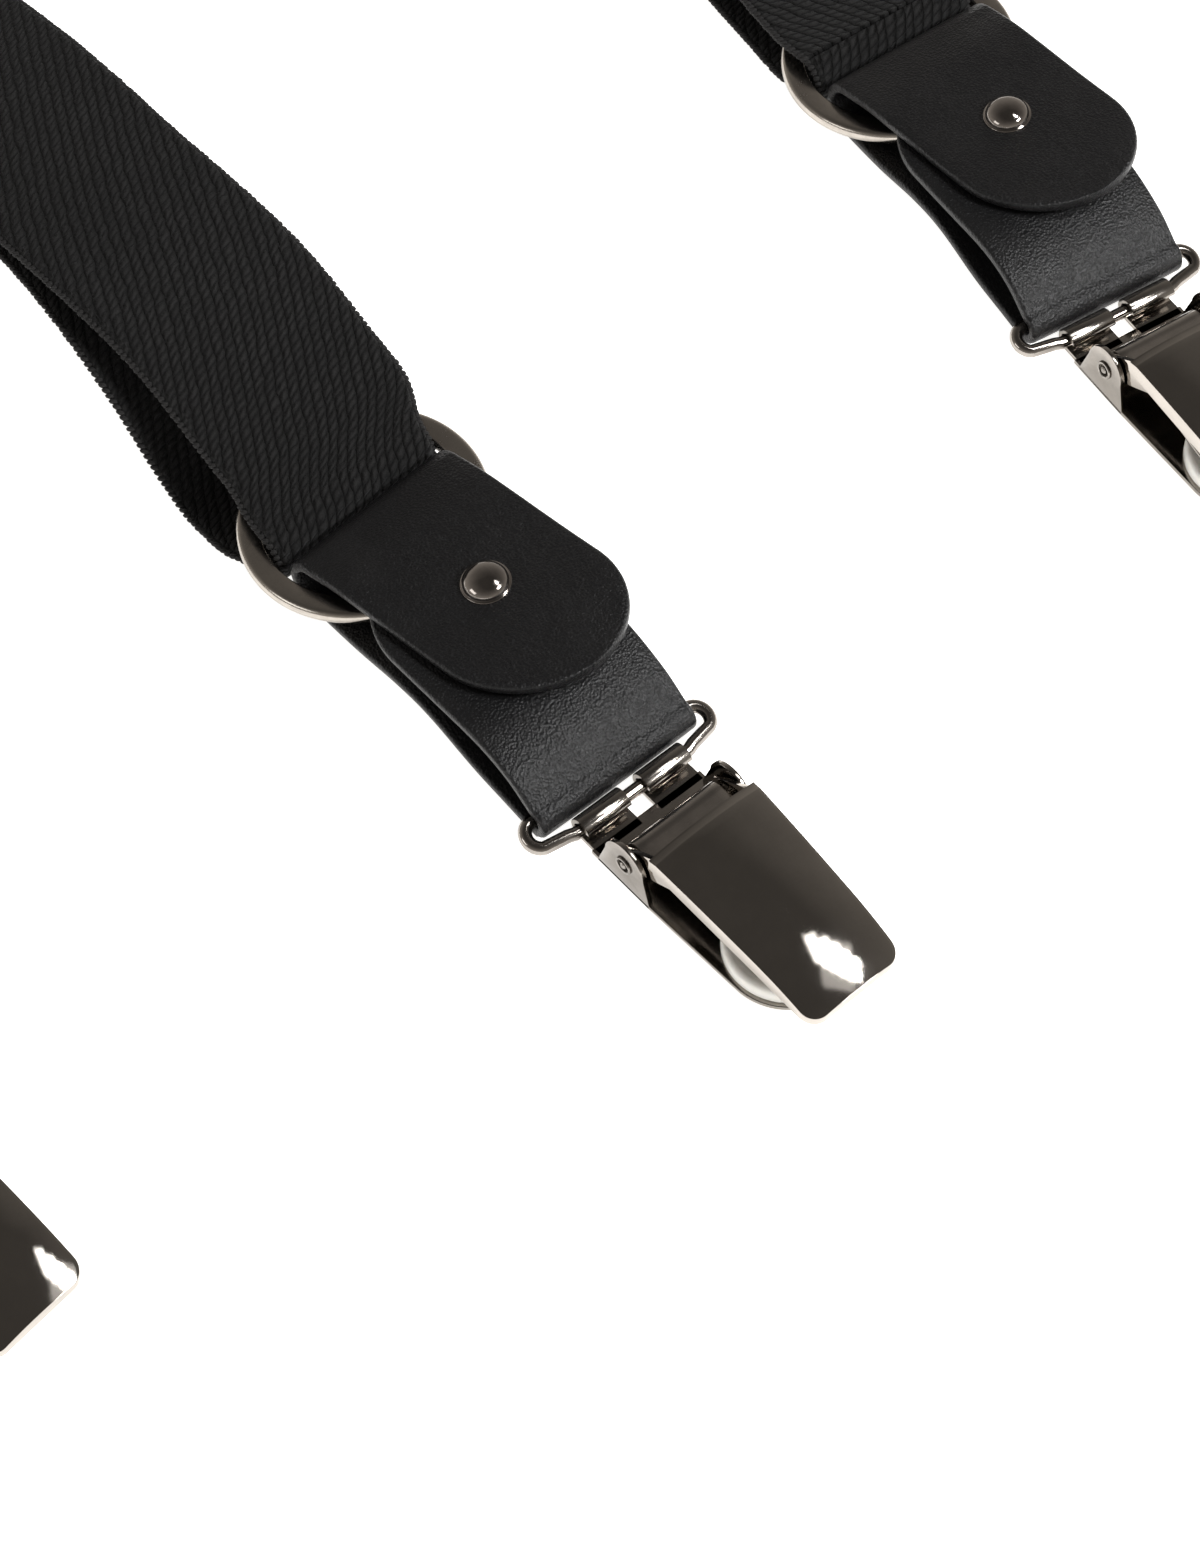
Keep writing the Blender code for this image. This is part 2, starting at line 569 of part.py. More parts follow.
def make_cover_lever(label, frame):
    stations = [COVER_START + COVER_LENGTH * k / 5 for k in range(6)]
    sections = [cover_section(d, cover_top(d), COVER_WALL) for d in stations]
    piece = add_object("cover_lever_" + label, loft("cover", sections), "mirror", frame)
    half, gauge = CLIP_WIDTH / 2.0, CLIP_GAUGE
    lip_foot = COVER_TIP_HEIGHT - COVER_CROWN - COVER_WALL
    lip = [(-COVER_END + gauge, lip_foot), (-COVER_END, lip_foot),
           (-COVER_END, COVER_TIP_HEIGHT - gauge), (-COVER_END + gauge, COVER_TIP_HEIGHT - gauge)]
    reach = half - COVER_TAPER - gauge / 2.0
    cut_or_join(piece, extrude_outline("lip", lip, (-reach, reach)), "UNION")
    eye = arc((PIN_POSITION, PIN_HEIGHT), 2.4 * MM, 150.0, 330.0, 9)
    shoulder = cover_top(COVER_START) - COVER_CROWN - 0.5 * MM
    lug = eye + [(COVER_START + 6.5 * MM, shoulder - COVER_WALL + 0.4 * MM),
                 (COVER_START + 6.5 * MM, shoulder - 0.8 * MM), (COVER_START + 0.05 * MM, shoulder)]
    lug = [(-y, z) for y, z in lug]
    for low, high in ((-half, -half + gauge), (half - gauge, half)):
        cut_or_join(piece, extrude_outline("lug", lug, (low, high)), "UNION")
    cut_pin_hole(piece, PIN_RADIUS + RUNNING_GAP)


def make_jaw_leaf(label, frame):
    """Sprung jaw: curls round the pin, arches under the cover and bears on the pad."""
    radius = PIN_RADIUS + RUNNING_GAP + GAP + JAW_GAUGE / 2.0
    curl = arc((PIN_POSITION, PIN_HEIGHT), radius, 300.0, 80.0, 9)
    bite = BASE_TOP + GAP + PAD_THICKNESS + GAP + JAW_GAUGE / 2.0
    tip = PAD_POSITION + PAD_RADIUS * 0.45
    crest = PIN_HEIGHT + radius + 0.5 * MM
    arch = [(PIN_POSITION + 5.5 * MM, crest), (PIN_POSITION + 12.0 * MM, crest - 0.6 * MM),
            (PAD_POSITION - 4.0 * MM, bite + 0.9 * MM), (tip - 2.0 * MM, bite + 0.05 * MM),
            (tip, bite)]
    path = curl + smooth_curve([Vector(p) for p in [curl[-1]] + arch], 3)[1:]
    half = CLIP_WIDTH / 2.0 - CLIP_GAUGE - 2.0 * GAP
    leaf = band("jaw_leaf", [Vector(p) for p in path], JAW_GAUGE, lambda i: half)
    add_object("jaw_leaf_" + label, leaf, "satin", frame)


def make_grip_pad(label, frame):
    z = BASE_TOP + GAP
    rim = PAD_RADIUS
    profile = [(0.0, z), (rim - 0.3 * MM, z), (rim, z + 0.5 * MM),
               (rim, z + PAD_THICKNESS - 0.9 * MM), (rim - 0.7 * MM, z + PAD_THICKNESS - 0.2 * MM),
               (rim - 2.0 * MM, z + PAD_THICKNESS), (0.0, z + PAD_THICKNESS)]
    pad = turned("grip_pad", profile, 28)
    add_object("grip_pad_" + label, pad, "nylon", frame, (0.0, -PAD_POSITION, 0.0))


def make_clip_end(label, frame):
    seat, stack = rivet_seat()
    make_ring(label, frame)
    make_leather_tab(label, frame, seat)
    make_rivet(label, frame, seat, stack)
    make_clip_loop(label, frame)
    make_base_plate(label, frame)
    make_hinge_pin(label, frame)
    make_cover_lever(label, frame)
    make_jaw_leaf(label, frame)
    make_grip_pad(label, frame)


# ---------------------------------------------------------------- webbing

def ring_fold(top_height):
    """The webbing's turn through the ring, from its upper run down to the lower one."""
    radius = (top_height - FOLD_FOOT) / 2.0
    centre = (-(radius + WEB_THICKNESS / 2.0 + 0.35 * MM), FOLD_FOOT + radius)
    return arc(centre, radius, 90.0, -90.0, 8)


def fold_height():
    """Height of the upper run's centre line where it turns down into the ring."""
    clear = RING_THICKNESS / 2.0 + GAP + RING_PLAY
    return ring_level(-6.0 * MM) + clear + WEB_THICKNESS / 2.0


def web_half_width(distance):
    grown = smooth_step((-distance - 3.0 * MM) / WEB_NECK_LENGTH)
    return (WEB_NECK_WIDTH + (WEB_WIDTH - WEB_NECK_WIDTH) * grown) / 2.0


def make_back_strap(frame):
    """One webbing loop: both ends in the patch, its middle through the back ring."""
    reach = BACK_STRAP_LENGTH + 24.0 * MM
    top = fold_height()
    entry = -BACK_STRAP_LENGTH + 8.0 * MM
    upper = [(-reach, UPPER_LAYER), (-BACK_STRAP_LENGTH, UPPER_LAYER),
             (entry, UPPER_LAYER + 0.2 * MM), (entry + 12.0 * MM, UPPER_LAYER + 1.6 * MM),
             (-150.0 * MM, 13.0 * MM), (-120.0 * MM, 19.6 * MM), (-90.0 * MM, 24.5 * MM),
             (-65.0 * MM, 25.2 * MM), (-50.0 * MM, 23.8 * MM), (-35.0 * MM, 20.4 * MM),
             (-20.0 * MM, 14.8 * MM), (-10.0 * MM, top + 0.9 * MM)]
    band_edge = -RING_OUTER_RADIUS
    lower = [(band_edge / 2.0, FOLD_FOOT), (band_edge - 1.5 * MM, FOLD_FOOT),
             (band_edge - 8.0 * MM, FOLD_FOOT + 3.6 * MM),
             (-38.0 * MM, 14.0 * MM), (-50.0 * MM, 18.4 * MM), (-65.0 * MM, 20.4 * MM),
             (-90.0 * MM, 19.8 * MM), (-120.0 * MM, 14.2 * MM), (-150.0 * MM, 8.2 * MM),
             (entry + 12.0 * MM, LOWER_LAYER + 1.0 * MM), (entry, LOWER_LAYER + 0.15 * MM),
             (-BACK_STRAP_LENGTH, LOWER_LAYER), (-reach, LOWER_LAYER)]
    path = smooth_curve([Vector(p) for p in upper + ring_fold(top) + lower], 3)
    turn = max(range(len(path)), key=lambda i: path[i][0])

    def roll(i):
        along = -path[i][0]
        rise = smooth_step((along - 14.0 * MM) / (40.0 * MM))
        fall = 1.0 - smooth_step((along - 85.0 * MM) / (80.0 * MM))
        return (RING_ROLL + (ARCH_ROLL - RING_ROLL) * rise) * fall

    def shift(i):
        along = -path[i][0]
        rise = smooth_step((along - 3.0 * MM) / (12.0 * MM))
        fall = 1.0 - smooth_step((along - 30.0 * MM) / (40.0 * MM))
        return rise * fall * (-1.8 * MM if i > turn else 2.5 * MM)

    strap = band("back_strap", path, WEB_THICKNESS, lambda i: web_half_width(path[i][0]),
                 shift, roll)
    add_object("back_strap", strap, "webbing", frame)


def run_height(distance):
    """Height of a front strap's upper run at a distance behind its ring."""
    top = fold_height()
    to_run = smooth_step((distance - 6.0 * MM) / (30.0 * MM))
    run_end = ADJUSTER_DISTANCE + ADJUSTER_TRAVEL_UP + ADJUSTER_LENGTH
    to_table = smooth_step((distance - run_end) / (40.0 * MM))
    climb = smooth_step((distance - FRONT_RUN + 150.0 * MM) / (75.0 * MM))
    level = top + (RUN_HEIGHT - top) * to_run
    level += (WEB_BED - RUN_HEIGHT) * to_table
    return level + (2.0 * ROLL_RADIUS) * climb


def folded(point, corner, axis, out):
    """Carries a flat point over the shoulder roll: down round a cylinder and back beneath."""
    beyond = (point - corner).dot(out)
    if beyond <= 0.0:
        return point, 0.0
    along = corner + axis * (point - corner).dot(axis)
    if beyond >= math.pi * ROLL_RADIUS:
        return along - out * (beyond - math.pi * ROLL_RADIUS), math.pi
    angle = beyond / ROLL_RADIUS
    return along + out * ROLL_RADIUS * math.sin(angle), angle


def shoulder_roll(ring_place, anchor):
    """The fold that sends a strap from its ring's line to the patch: axis, side and end run."""
    inverse = ring_place.inverted()
    target = (inverse @ anchor.to_3d()).to_2d()
    corner = Vector((0.0, FRONT_RUN))
    up = Vector((0.0, 1.0))

    def miss(tilt):
        axis = Vector((math.cos(tilt), math.sin(tilt)))
        out = Vector((-math.sin(tilt), math.cos(tilt)))
        turn_length = math.pi * ROLL_RADIUS / up.dot(out)
        start, _ = folded(corner + up * turn_length, corner, axis, out)
        heading = 2.0 * axis * up.dot(axis) - up
        gone = target - start
        return heading.x * gone.y - heading.y * gone.x, axis, out, turn_length, gone.length

    side = 1.0 if target.x > 0.0 else -1.0
    low, high = 0.0, side * math.radians(44.0)
    for _ in range(50):
        middle = (low + high) / 2.0
        if (miss(low)[0] > 0.0) == (miss(middle)[0] > 0.0):
            low = middle
        else:
            high = middle
    _, axis, out, turn_length, run = miss(low)
    return corner, axis, out, turn_length, run


def end_roll(distance):
    """Roll of a front strap's runs: the ring's where they meet it, none further back."""
    return RING_ROLL * (1.0 - smooth_step((distance - 12.0 * MM) / (30.0 * MM)))


def make_front_strap(label, frame, place, anchor, layer):
    """One webbing strap in two solids: patch and shoulder roll, then the run to its ring."""
    corner, axis, out, turn_length, last_run = shoulder_roll(place, anchor)
    total = FRONT_RUN + turn_length + last_run
    lead = FRONT_RUN - SHOULDER_LEAD
    marks = [(4.0 * MM, 10.0 * MM), (60.0 * MM, 8.0 * MM), (lead - 2.0 * MM, 15.0 * MM),
             (FRONT_RUN + turn_length + 25.0 * MM, 3.0 * MM), (total, 16.0 * MM)]
    samples = [-ring_fold(fold_height())[0][0]]
    for limit, step in marks:
        while samples[-1] + step < limit:
            samples.append(samples[-1] + step)
    samples.append(total)

    def section(s):
        half = web_half_width(-s)
        patch_rise = smooth_step((s - total + 95.0 * MM) / (60.0 * MM))
        roll = end_roll(s)
        points = []
        for side, rise in ((-1, -1), (1, -1), (1, 1), (-1, 1)):
            flat, angle = folded(Vector((side * half, s)), corner, axis, out)
            level = run_height(min(s, FRONT_RUN)) + side * half * math.sin(roll)
            level -= ROLL_RADIUS * (1.0 - math.cos(angle))
            level += (layer - WEB_BED) * patch_rise
            normal = Vector((0.0, 0.0, 1.0)) * math.cos(angle)
            normal += Vector((out.x, out.y, 0.0)) * math.sin(angle)
            points.append(Vector((flat.x, flat.y, level)) + normal * rise * WEB_THICKNESS / 2.0)
        return points

    above = [lead + GAP / 2.0] + [s for s in samples if s > lead + 1.0 * MM]
    shoulder = loft("shoulder_turn", [section(s) for s in reversed(above)])
    add_object("shoulder_turn_" + label, shoulder, "webbing", frame)
    below = [s for s in samples if s < lead - 1.0 * MM] + [lead - GAP / 2.0]
    sections = [section(s) for s in reversed(below)]
    turn = ring_fold(fold_height())[1:]
    turn.append((turn[-1][0] - 2.0 * MM, FOLD_FOOT))
    tail = band("turn", [Vector(p) for p in turn], WEB_THICKNESS,
                lambda i: web_half_width(turn[i][0]), roll=lambda i: RING_ROLL)
    tail_points = [v.co.copy() for v in tail.vertices]
    sections += [tail_points[i:i + 4] for i in range(0, len(tail_points), 4)]
    strap = loft("front_strap", sections)
    add_object("front_strap_" + label, strap, "webbing", frame)
    return turn[-1][0] - GAP


def return_height(distance):
    """Height of the return run: the ring fold's, then down to the table."""
    return FOLD_FOOT + (WEB_BED - FOLD_FOOT) * smooth_step((distance - 14.0 * MM) / (30.0 * MM))


def make_return_run(label, frame, start):
    """The strap's doubled-back end: along the table, round the adjuster's bar, sewn to itself."""
    bar = (-ADJUSTER_DISTANCE, ADJUSTER_BAR_HEIGHT)
    loop = arc(bar, ADJUSTER_LOOP_RADIUS, 270.0, 80.0, 9)
    lap = WEB_BED + WEB_THICKNESS + GAP
    stops = [0.0, 0.05, 0.1, 0.15, 0.2, 0.25, 0.3, 0.5, 0.75]
    run = [(start + (bar[0] - start) * k, return_height(-start + (start - bar[0]) * k))
           for k in stops]
    hem = [(bar[0] + 6.5 * MM, lap + 1.1 * MM), (bar[0] + 12.0 * MM, lap + 0.1 * MM),
           (bar[0] + 20.0 * MM, lap)]
    path = [Vector(p) for p in run] + [Vector(p) for p in loop]
    path += smooth_curve([Vector(p) for p in [loop[-1]] + hem], 3)[1:]
    mesh = band("return_run", path, WEB_THICKNESS, lambda i: web_half_width(path[i][0]),
                roll=lambda i: end_roll(-path[i][0]))
    add_object("return_run_" + label, mesh, "webbing", frame)


def make_adjuster(label, frame):
    """Folded sheet slide: a front plate with two side walls, and a bar that the hem loops round."""
    inner = WEB_WIDTH / 2.0 + 3.0 * GAP
    outer = inner + ADJUSTER_GAUGE
    roof = RUN_HEIGHT + WEB_THICKNESS / 2.0 + GAP
    top = roof + ADJUSTER_GAUGE
    foot = ADJUSTER_BAR_HEIGHT - 2.2 * MM
    bevel = 0.5 * MM
    channel = [(-outer, foot), (-inner, foot), (-inner, roof), (inner, roof), (inner, foot),
               (outer, foot), (outer, top - bevel), (outer - bevel, top),
               (-outer + bevel, top), (-outer, top - bevel)]
    half = ADJUSTER_LENGTH / 2.0
    ends = [[(x, y, z) for x, z in channel] for y in (-half, half)]
    place = (0.0, ADJUSTER_DISTANCE, 0.0)
    piece = add_object("adjuster_frame_" + label, loft("adjuster", ends), "satin", frame, place)
    hole = rod("hole", ADJUSTER_BAR_RADIUS + RUNNING_GAP, 3.0 * WEB_WIDTH, 16)
    hole.transform(Matrix.Translation((0.0, 0.0, ADJUSTER_BAR_HEIGHT)))
    cut_or_join(piece, hole, "DIFFERENCE")
    bar = rod("adjuster_bar", ADJUSTER_BAR_RADIUS, 2.0 * (outer + 0.3 * MM), 16)
    bar_place = (0.0, ADJUSTER_DISTANCE, ADJUSTER_BAR_HEIGHT)
    add_object("adjuster_bar_" + label, bar, "satin", frame, bar_place)


# ---------------------------------------------------------------- patch

def patch_outline():
    """Rounded shield, wider where the front straps enter."""
    low = BACK_STRAP_LENGTH
    high = low + PATCH_HEIGHT
    foot, top, r = PATCH_FOOT_WIDTH / 2.0, PATCH_TOP_WIDTH / 2.0, PATCH_CORNER_RADIUS
    lower_right = arc((foot - r, low + r), r, -90.0, -8.0, 5)
    upper_right = arc((top - r, high - r), r, -8.0, 90.0, 6)
    right = lower_right + upper_right
    return right + [(-x, y) for x, y in reversed(right)]


def make_patch(frame):
    outline = patch_outline()
    roof = UPPER_LAYER + WEB_THICKNESS / 2.0 + GAP
    layers = {"patch_back": PATCH_UNDERSIDE, "patch_front": roof}
    for name, low in layers.items():
        plate = extrude_plan(name, outline, (low, low + PATCH_LEATHER))
        add_object(name, plate, "leather", frame)


# ---------------------------------------------------------------- assembly

def centre_on_origin(root):
    """Moves everything so that the whole stands centred over the origin."""
    bpy.context.view_layer.update()
    solids = [o for o in bpy.context.scene.objects if o.type == "MESH"]
    corners = [o.matrix_world @ v.co for o in solids for v in o.data.vertices]
    lows = [min(c[k] for c in corners) for k in range(3)]
    highs = [max(c[k] for c in corners) for k in range(3)]
    root.location = (-(lows[0] + highs[0]) / 2.0, -(lows[1] + highs[1]) / 2.0, -lows[2])


def build():
    clear_scene()
    root = add_empty("braces", None)
    back = add_empty("back_end", root)
    make_clip_end("back", back)
    make_back_strap(back)
    make_patch(back)
    anchor_height = BACK_STRAP_LENGTH + PATCH_HEIGHT - 27.0 * MM
    sides = (("left", -SIDE_RING_X, LEFT_RING_Y, LEFT_TURN, LOWER_LAYER),
             ("right", SIDE_RING_X, RIGHT_RING_Y, RIGHT_TURN, UPPER_LAYER))
    for label, x, y, turn, layer in sides:
        frame = add_empty("front_end_" + label, root, (x, y, 0.0), turn)
        place = Matrix.Translation((x, y, 0.0)) @ Matrix.Rotation(math.radians(turn), 4, "Z")
        anchor = Vector((math.copysign(PATCH_ANCHOR_SPREAD, x), anchor_height))
        make_clip_end(label, frame)
        start = make_front_strap(label, frame, place, anchor, layer)
        make_return_run(label, frame, start)
        make_adjuster(label, frame)
    centre_on_origin(root)


build()
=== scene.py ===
"""Clip-on dress braces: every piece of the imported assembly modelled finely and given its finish.

Lengths are metres unless a name ends in _mm. A clip end is drawn in a frame of its own: +X runs
across the strap, -Y runs from the ring to the clip and the ring stands over the frame's origin.
"""
import json
import logging
import math
from abc import ABC, abstractmethod
from dataclasses import dataclass, field
from enum import Enum
from typing import Any, Callable, Optional, Sequence, Union

import bmesh
import bpy
from mathutils import Matrix, Vector


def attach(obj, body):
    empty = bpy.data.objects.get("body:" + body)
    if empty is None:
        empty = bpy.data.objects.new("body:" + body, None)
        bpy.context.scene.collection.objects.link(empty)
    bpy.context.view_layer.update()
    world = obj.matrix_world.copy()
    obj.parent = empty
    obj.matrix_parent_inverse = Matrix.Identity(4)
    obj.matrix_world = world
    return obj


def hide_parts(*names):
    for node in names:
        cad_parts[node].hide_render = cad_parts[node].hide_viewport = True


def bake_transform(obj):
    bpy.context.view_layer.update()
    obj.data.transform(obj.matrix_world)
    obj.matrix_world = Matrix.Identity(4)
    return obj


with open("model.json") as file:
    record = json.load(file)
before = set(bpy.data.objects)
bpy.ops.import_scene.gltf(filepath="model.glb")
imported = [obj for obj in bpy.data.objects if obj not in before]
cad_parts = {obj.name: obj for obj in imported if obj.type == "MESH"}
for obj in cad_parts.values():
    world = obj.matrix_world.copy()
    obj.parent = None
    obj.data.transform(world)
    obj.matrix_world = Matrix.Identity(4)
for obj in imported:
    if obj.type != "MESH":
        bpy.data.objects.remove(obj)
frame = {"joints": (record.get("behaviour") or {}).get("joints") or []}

MM = 0.001
X_AXIS = Vector((1.0, 0.0, 0.0))
LOG = logging.getLogger("braces")
Number = Union[int, float]


class Slot(Enum):
    """Material slots of the record."""

    WEBBING = "webbing"
    LEATHER = "leather"
    MIRROR = "mirror_metal"
    SATIN = "satin_metal"
    PAD = "pad"


# ------------------------------------------------------------------ shader writing

class Field:
    """One number over a surface: a shader socket that takes part in Python expressions."""

    def __init__(self, board: "Board", socket: bpy.types.NodeSocket) -> None:
        """Wraps a socket of the board's tree."""
        self.board = board
        self.socket = socket

    def _math(self, operation: str, *values: Any) -> "Field":
        """Adds one Math node over the given values."""
        node = self.board.add("ShaderNodeMath", {"operation": operation},
                              dict(enumerate(values)))
        return Field(self.board, node.outputs[0])

    def __add__(self, other: Any) -> "Field":
        """Sum."""
        return self._math("ADD", self, other)

    __radd__ = __add__

    def __sub__(self, other: Any) -> "Field":
        """Difference."""
        return self._math("SUBTRACT", self, other)

    def __rsub__(self, other: Any) -> "Field":
        """Difference, reflected."""
        return self._math("SUBTRACT", other, self)

    def __mul__(self, other: Any) -> "Field":
        """Product."""
        return self._math("MULTIPLY", self, other)

    __rmul__ = __mul__

    def __truediv__(self, other: Any) -> "Field":
        """Quotient."""
        return self._math("DIVIDE", self, other)

    def __pow__(self, other: Any) -> "Field":
        """Power."""
        return self._math("POWER", self, other)

    def floor(self) -> "Field":
        """Whole part."""
        return self._math("FLOOR", self)

    def sine(self) -> "Field":
        """Sine of the value in radians."""
        return self._math("SINE", self)

    def size(self) -> "Field":
        """Absolute value."""
        return self._math("ABSOLUTE", self)

    def between(self, low: float, high: float) -> "Field":
        """Smooth rise from 0 at low to 1 at high.

        Args:
            low: Value that gives 0.
            high: Value that gives 1.

        Returns:
            The eased share between the two.
        """
        node = self.board.add("ShaderNodeMapRange", {"interpolation_type": "SMOOTHSTEP"},
                              {"Value": self, "From Min": low, "From Max": high})
        return Field(self.board, node.outputs["Result"])


class Board:
    """The node tree of one material, with a Principled shader in it."""

    def __init__(self, name: str) -> None:
        """Starts a material with this name."""
        self.material = bpy.data.materials.new(name)
        self.material.use_nodes = True
        self.tree = self.material.node_tree
        self.shader = self.tree.nodes["Principled BSDF"]

    def add(self, kind: str, settings: dict[str, Any], values: dict[Any, Any]) -> Any:
        """Adds any node.

        Args:
            kind: Node type.
            settings: The node's own settings; "stops" gives a colour ramp's stops.
            values: Numbers, colours, sockets or fields by socket name or index.

        Returns:
            The new node.
        """
        node = self.tree.nodes.new(kind)
        for key, value in settings.items():
            if key == "stops":
                self._set_stops(node.color_ramp, value)
            else:
                setattr(node, key, value)
        for key, value in values.items():
            self.feed(node.inputs[key], value)
        return node

    @staticmethod
    def _set_stops(ramp: Any, stops: Sequence[tuple[float, Sequence[float]]]) -> None:
        """Gives a ramp these stops."""
        while len(ramp.elements) < len(stops):
            ramp.elements.new(0.5)
        for element, (place, colour) in zip(ramp.elements, stops):
            element.position = place
            element.color = (*colour, 1.0)

    def feed(self, socket: bpy.types.NodeSocket, value: Any) -> None:
        """Links or sets one input socket."""
        if isinstance(value, Field):
            self.tree.links.new(value.socket, socket)
        elif isinstance(value, bpy.types.NodeSocket):
            self.tree.links.new(value, socket)
        else:
            socket.default_value = value

    def set(self, values: dict[str, Any]) -> None:
        """Sets or links sockets of the Principled shader."""
        for key, value in values.items():
            self.feed(self.shader.inputs[key], value)

    def object_mm(self) -> bpy.types.NodeSocket:
        """Object coordinates in millimetres."""
        place = self.add("ShaderNodeTexCoord", {}, {})
        scaled = self.add("ShaderNodeVectorMath", {"operation": "SCALE"},
                          {0: place.outputs["Object"], "Scale": 1000.0})
        return scaled.outputs[0]

    def flat_mm(self) -> bpy.types.NodeSocket:
        """The piece's own flat coordinates in millimetres: across, along."""
        return self.add("ShaderNodeUVMap", {"uv_map": "flat"}, {}).outputs["UV"]

    def split(self, vector: Any) -> tuple[Field, Field, Field]:
        """The three parts of a vector."""
        node = self.add("ShaderNodeSeparateXYZ", {}, {"Vector": vector})
        x, y, z = (Field(self, socket) for socket in node.outputs)
        return x, y, z

    def join(self, x: Any, y: Any, z: Any = 0.0) -> bpy.types.NodeSocket:
        """A vector of three parts."""
        return self.add("ShaderNodeCombineXYZ", {}, {"X": x, "Y": y, "Z": z}).outputs[0]

    def stretched(self, vector: Any, scale: Sequence[float]) -> bpy.types.NodeSocket:
        """The vector multiplied part by part."""
        node = self.add("ShaderNodeVectorMath", {"operation": "MULTIPLY"},
                        {0: vector, 1: tuple(scale)})
        return node.outputs[0]

    def noise(self, vector: Any, scale: float, detail: float = 2.0,
              roughness: float = 0.5) -> Field:
        """Cloudy noise, about 0 to 1.

        Args:
            vector: Where it is read, in millimetres.
            scale: Features per millimetre.
            detail: Octaves.
            roughness: Share of each finer octave.

        Returns:
            The noise.
        """
        node = self.add("ShaderNodeTexNoise", {},
                        {"Vector": vector, "Scale": scale, "Detail": detail,
                         "Roughness": roughness})
        return Field(self, node.outputs[0])

    def cells(self, vector: Any, scale: float, feature: str = "F1") -> Field:
        """Distance within a cell pattern."""
        node = self.add("ShaderNodeTexVoronoi", {"feature": feature},
                        {"Vector": vector, "Scale": scale})
        return Field(self, node.outputs["Distance"])

    def blend(self, share: Any, low: Sequence[float], high: Sequence[float]) -> Any:
        """A colour between two others."""
        node = self.add("ShaderNodeMix", {"data_type": "RGBA"},
                        {"Factor": share, 6: (*low, 1.0), 7: (*high, 1.0)})
        return node.outputs[2]

    def bump(self, height: Field, depth_mm: float, strength: float = 1.0) -> None:
        """Feeds the shader's Normal from a height of 0 to 1 that is depth_mm deep."""
        node = self.add("ShaderNodeBump", {},
                        {"Height": height, "Distance": depth_mm * MM, "Strength": strength})
        self.set({"Normal": node.outputs[0]})


class Finish(ABC):
    """A surface that can be made into a material."""

    @abstractmethod
    def make(self, name: str) -> bpy.types.Material:
        """The finish as a material of this name."""


@dataclass(frozen=True)
class Webbing(Finish):
    """Coarse black twill: rope-like wales of short slanted yarns with loose fibres, coloured
    lighter on the yarn crests (painted highlight) and darker in the valleys (painted shade).
    """

    wale_mm: float = 1.70
    yarn_mm: float = 1.45
    wale_angle: float = -27.0
    slant: float = 0.9
    depth_mm: float = 0.95
    # The valley colour is painted shade and the crest colour is painted highlight; the finish
    # blends the two by yarn height.
    valley_shade: tuple[float, float, float] = (0.002, 0.002, 0.002)
    crest_highlight: tuple[float, float, float] = (0.017, 0.0165, 0.0165)

    def make(self, name: str) -> bpy.types.Material:
        """The twill as a material of this name."""
        board = Board(name)
        flat = board.flat_mm()
        u, v, _ = board.split(flat)
        turn = math.radians(self.wale_angle)
        sway = board.noise(flat, 0.35, 3.0, 0.6) - 0.5
        across = u * math.cos(turn) - v * math.sin(turn) + sway * 1.3
        along = u * math.sin(turn) + v * math.cos(turn)
        phase = across / self.wale_mm
        row = phase.floor()
        part = phase - row
        ridge = (part * math.pi).sine()
        jump = Field(board, board.add("ShaderNodeTexWhiteNoise", {"noise_dimensions": "1D"},
                                      {"W": row}).outputs["Value"])
        drift = board.noise(flat, 0.6, 1.0)
        step = (along + (part - 0.5) * (self.slant * self.wale_mm) + jump * self.yarn_mm
                + drift * 0.7) / self.yarn_mm
        strand = ((step * math.pi).sine().size()) ** 0.75
        lift = Field(board, board.add("ShaderNodeTexWhiteNoise", {"noise_dimensions": "2D"},
                                      {"Vector": board.join(row, step.floor())}
                                      ).outputs["Value"])
        hair = board.noise(board.join(along * 1.2 + across * 5.0, across * 1.5 - along * 4.0),
                           1.1, 3.0, 0.65)
        body = (ridge ** 0.5) * 0.18 + (ridge ** 0.6) * strand * 0.82
        height = body * (0.74 + lift * 0.26) + (hair - 0.5) * 0.26
        worn = board.noise(flat, 0.05, 2.0)
        # The colour follows yarn height, with painted highlight on the crests and painted shade in
        # the valleys; hair and worn also vary it at random.
        highlight_and_wear_tone = (height * (0.55 + hair * 0.75) * (0.7 + worn * 0.5)).between(0.12, 1.0)
        board.set({"Base Color": board.blend(highlight_and_wear_tone, self.valley_shade, self.crest_highlight),
                   "Roughness": 0.92 - hair * 0.16, "Sheen Weight": 0.03,
                   "Sheen Roughness": 0.45, "Specular IOR Level": 0.22})
        board.bump(height, self.depth_mm)
        return board.material


@dataclass(frozen=True)
class Yarn(Finish):
    """Loose black yarn at the selvedge, or waxed sewing thread."""

    colour: tuple[float, float, float] = (0.022, 0.021, 0.021)
    shine: float = 0.8
    twist_mm: float = 0.35

    def make(self, name: str) -> bpy.types.Material:
        """The yarn as a material of this name."""
        board = Board(name)
        place = board.object_mm()
        x, y, z = board.split(place)
        ply = ((x + y * 0.8 + z * 1.4) * (math.pi / self.twist_mm)).sine() * 0.5 + 0.5
        hair = board.noise(place, 4.0, 3.0, 0.7)
        # dark is painted shade in the twist grooves between the plies; the hair noise varies the
        # tone at random.
        dark = tuple(c * 0.3 for c in self.colour)
        board.set({"Base Color": board.blend(ply * 0.45 + hair * 0.55, dark, self.colour),
                   "Roughness": self.shine + (hair - 0.5) * 0.15, "Specular IOR Level": 0.3})
        board.bump(ply * 0.5 + hair * 0.5, 0.12)
        return board.material


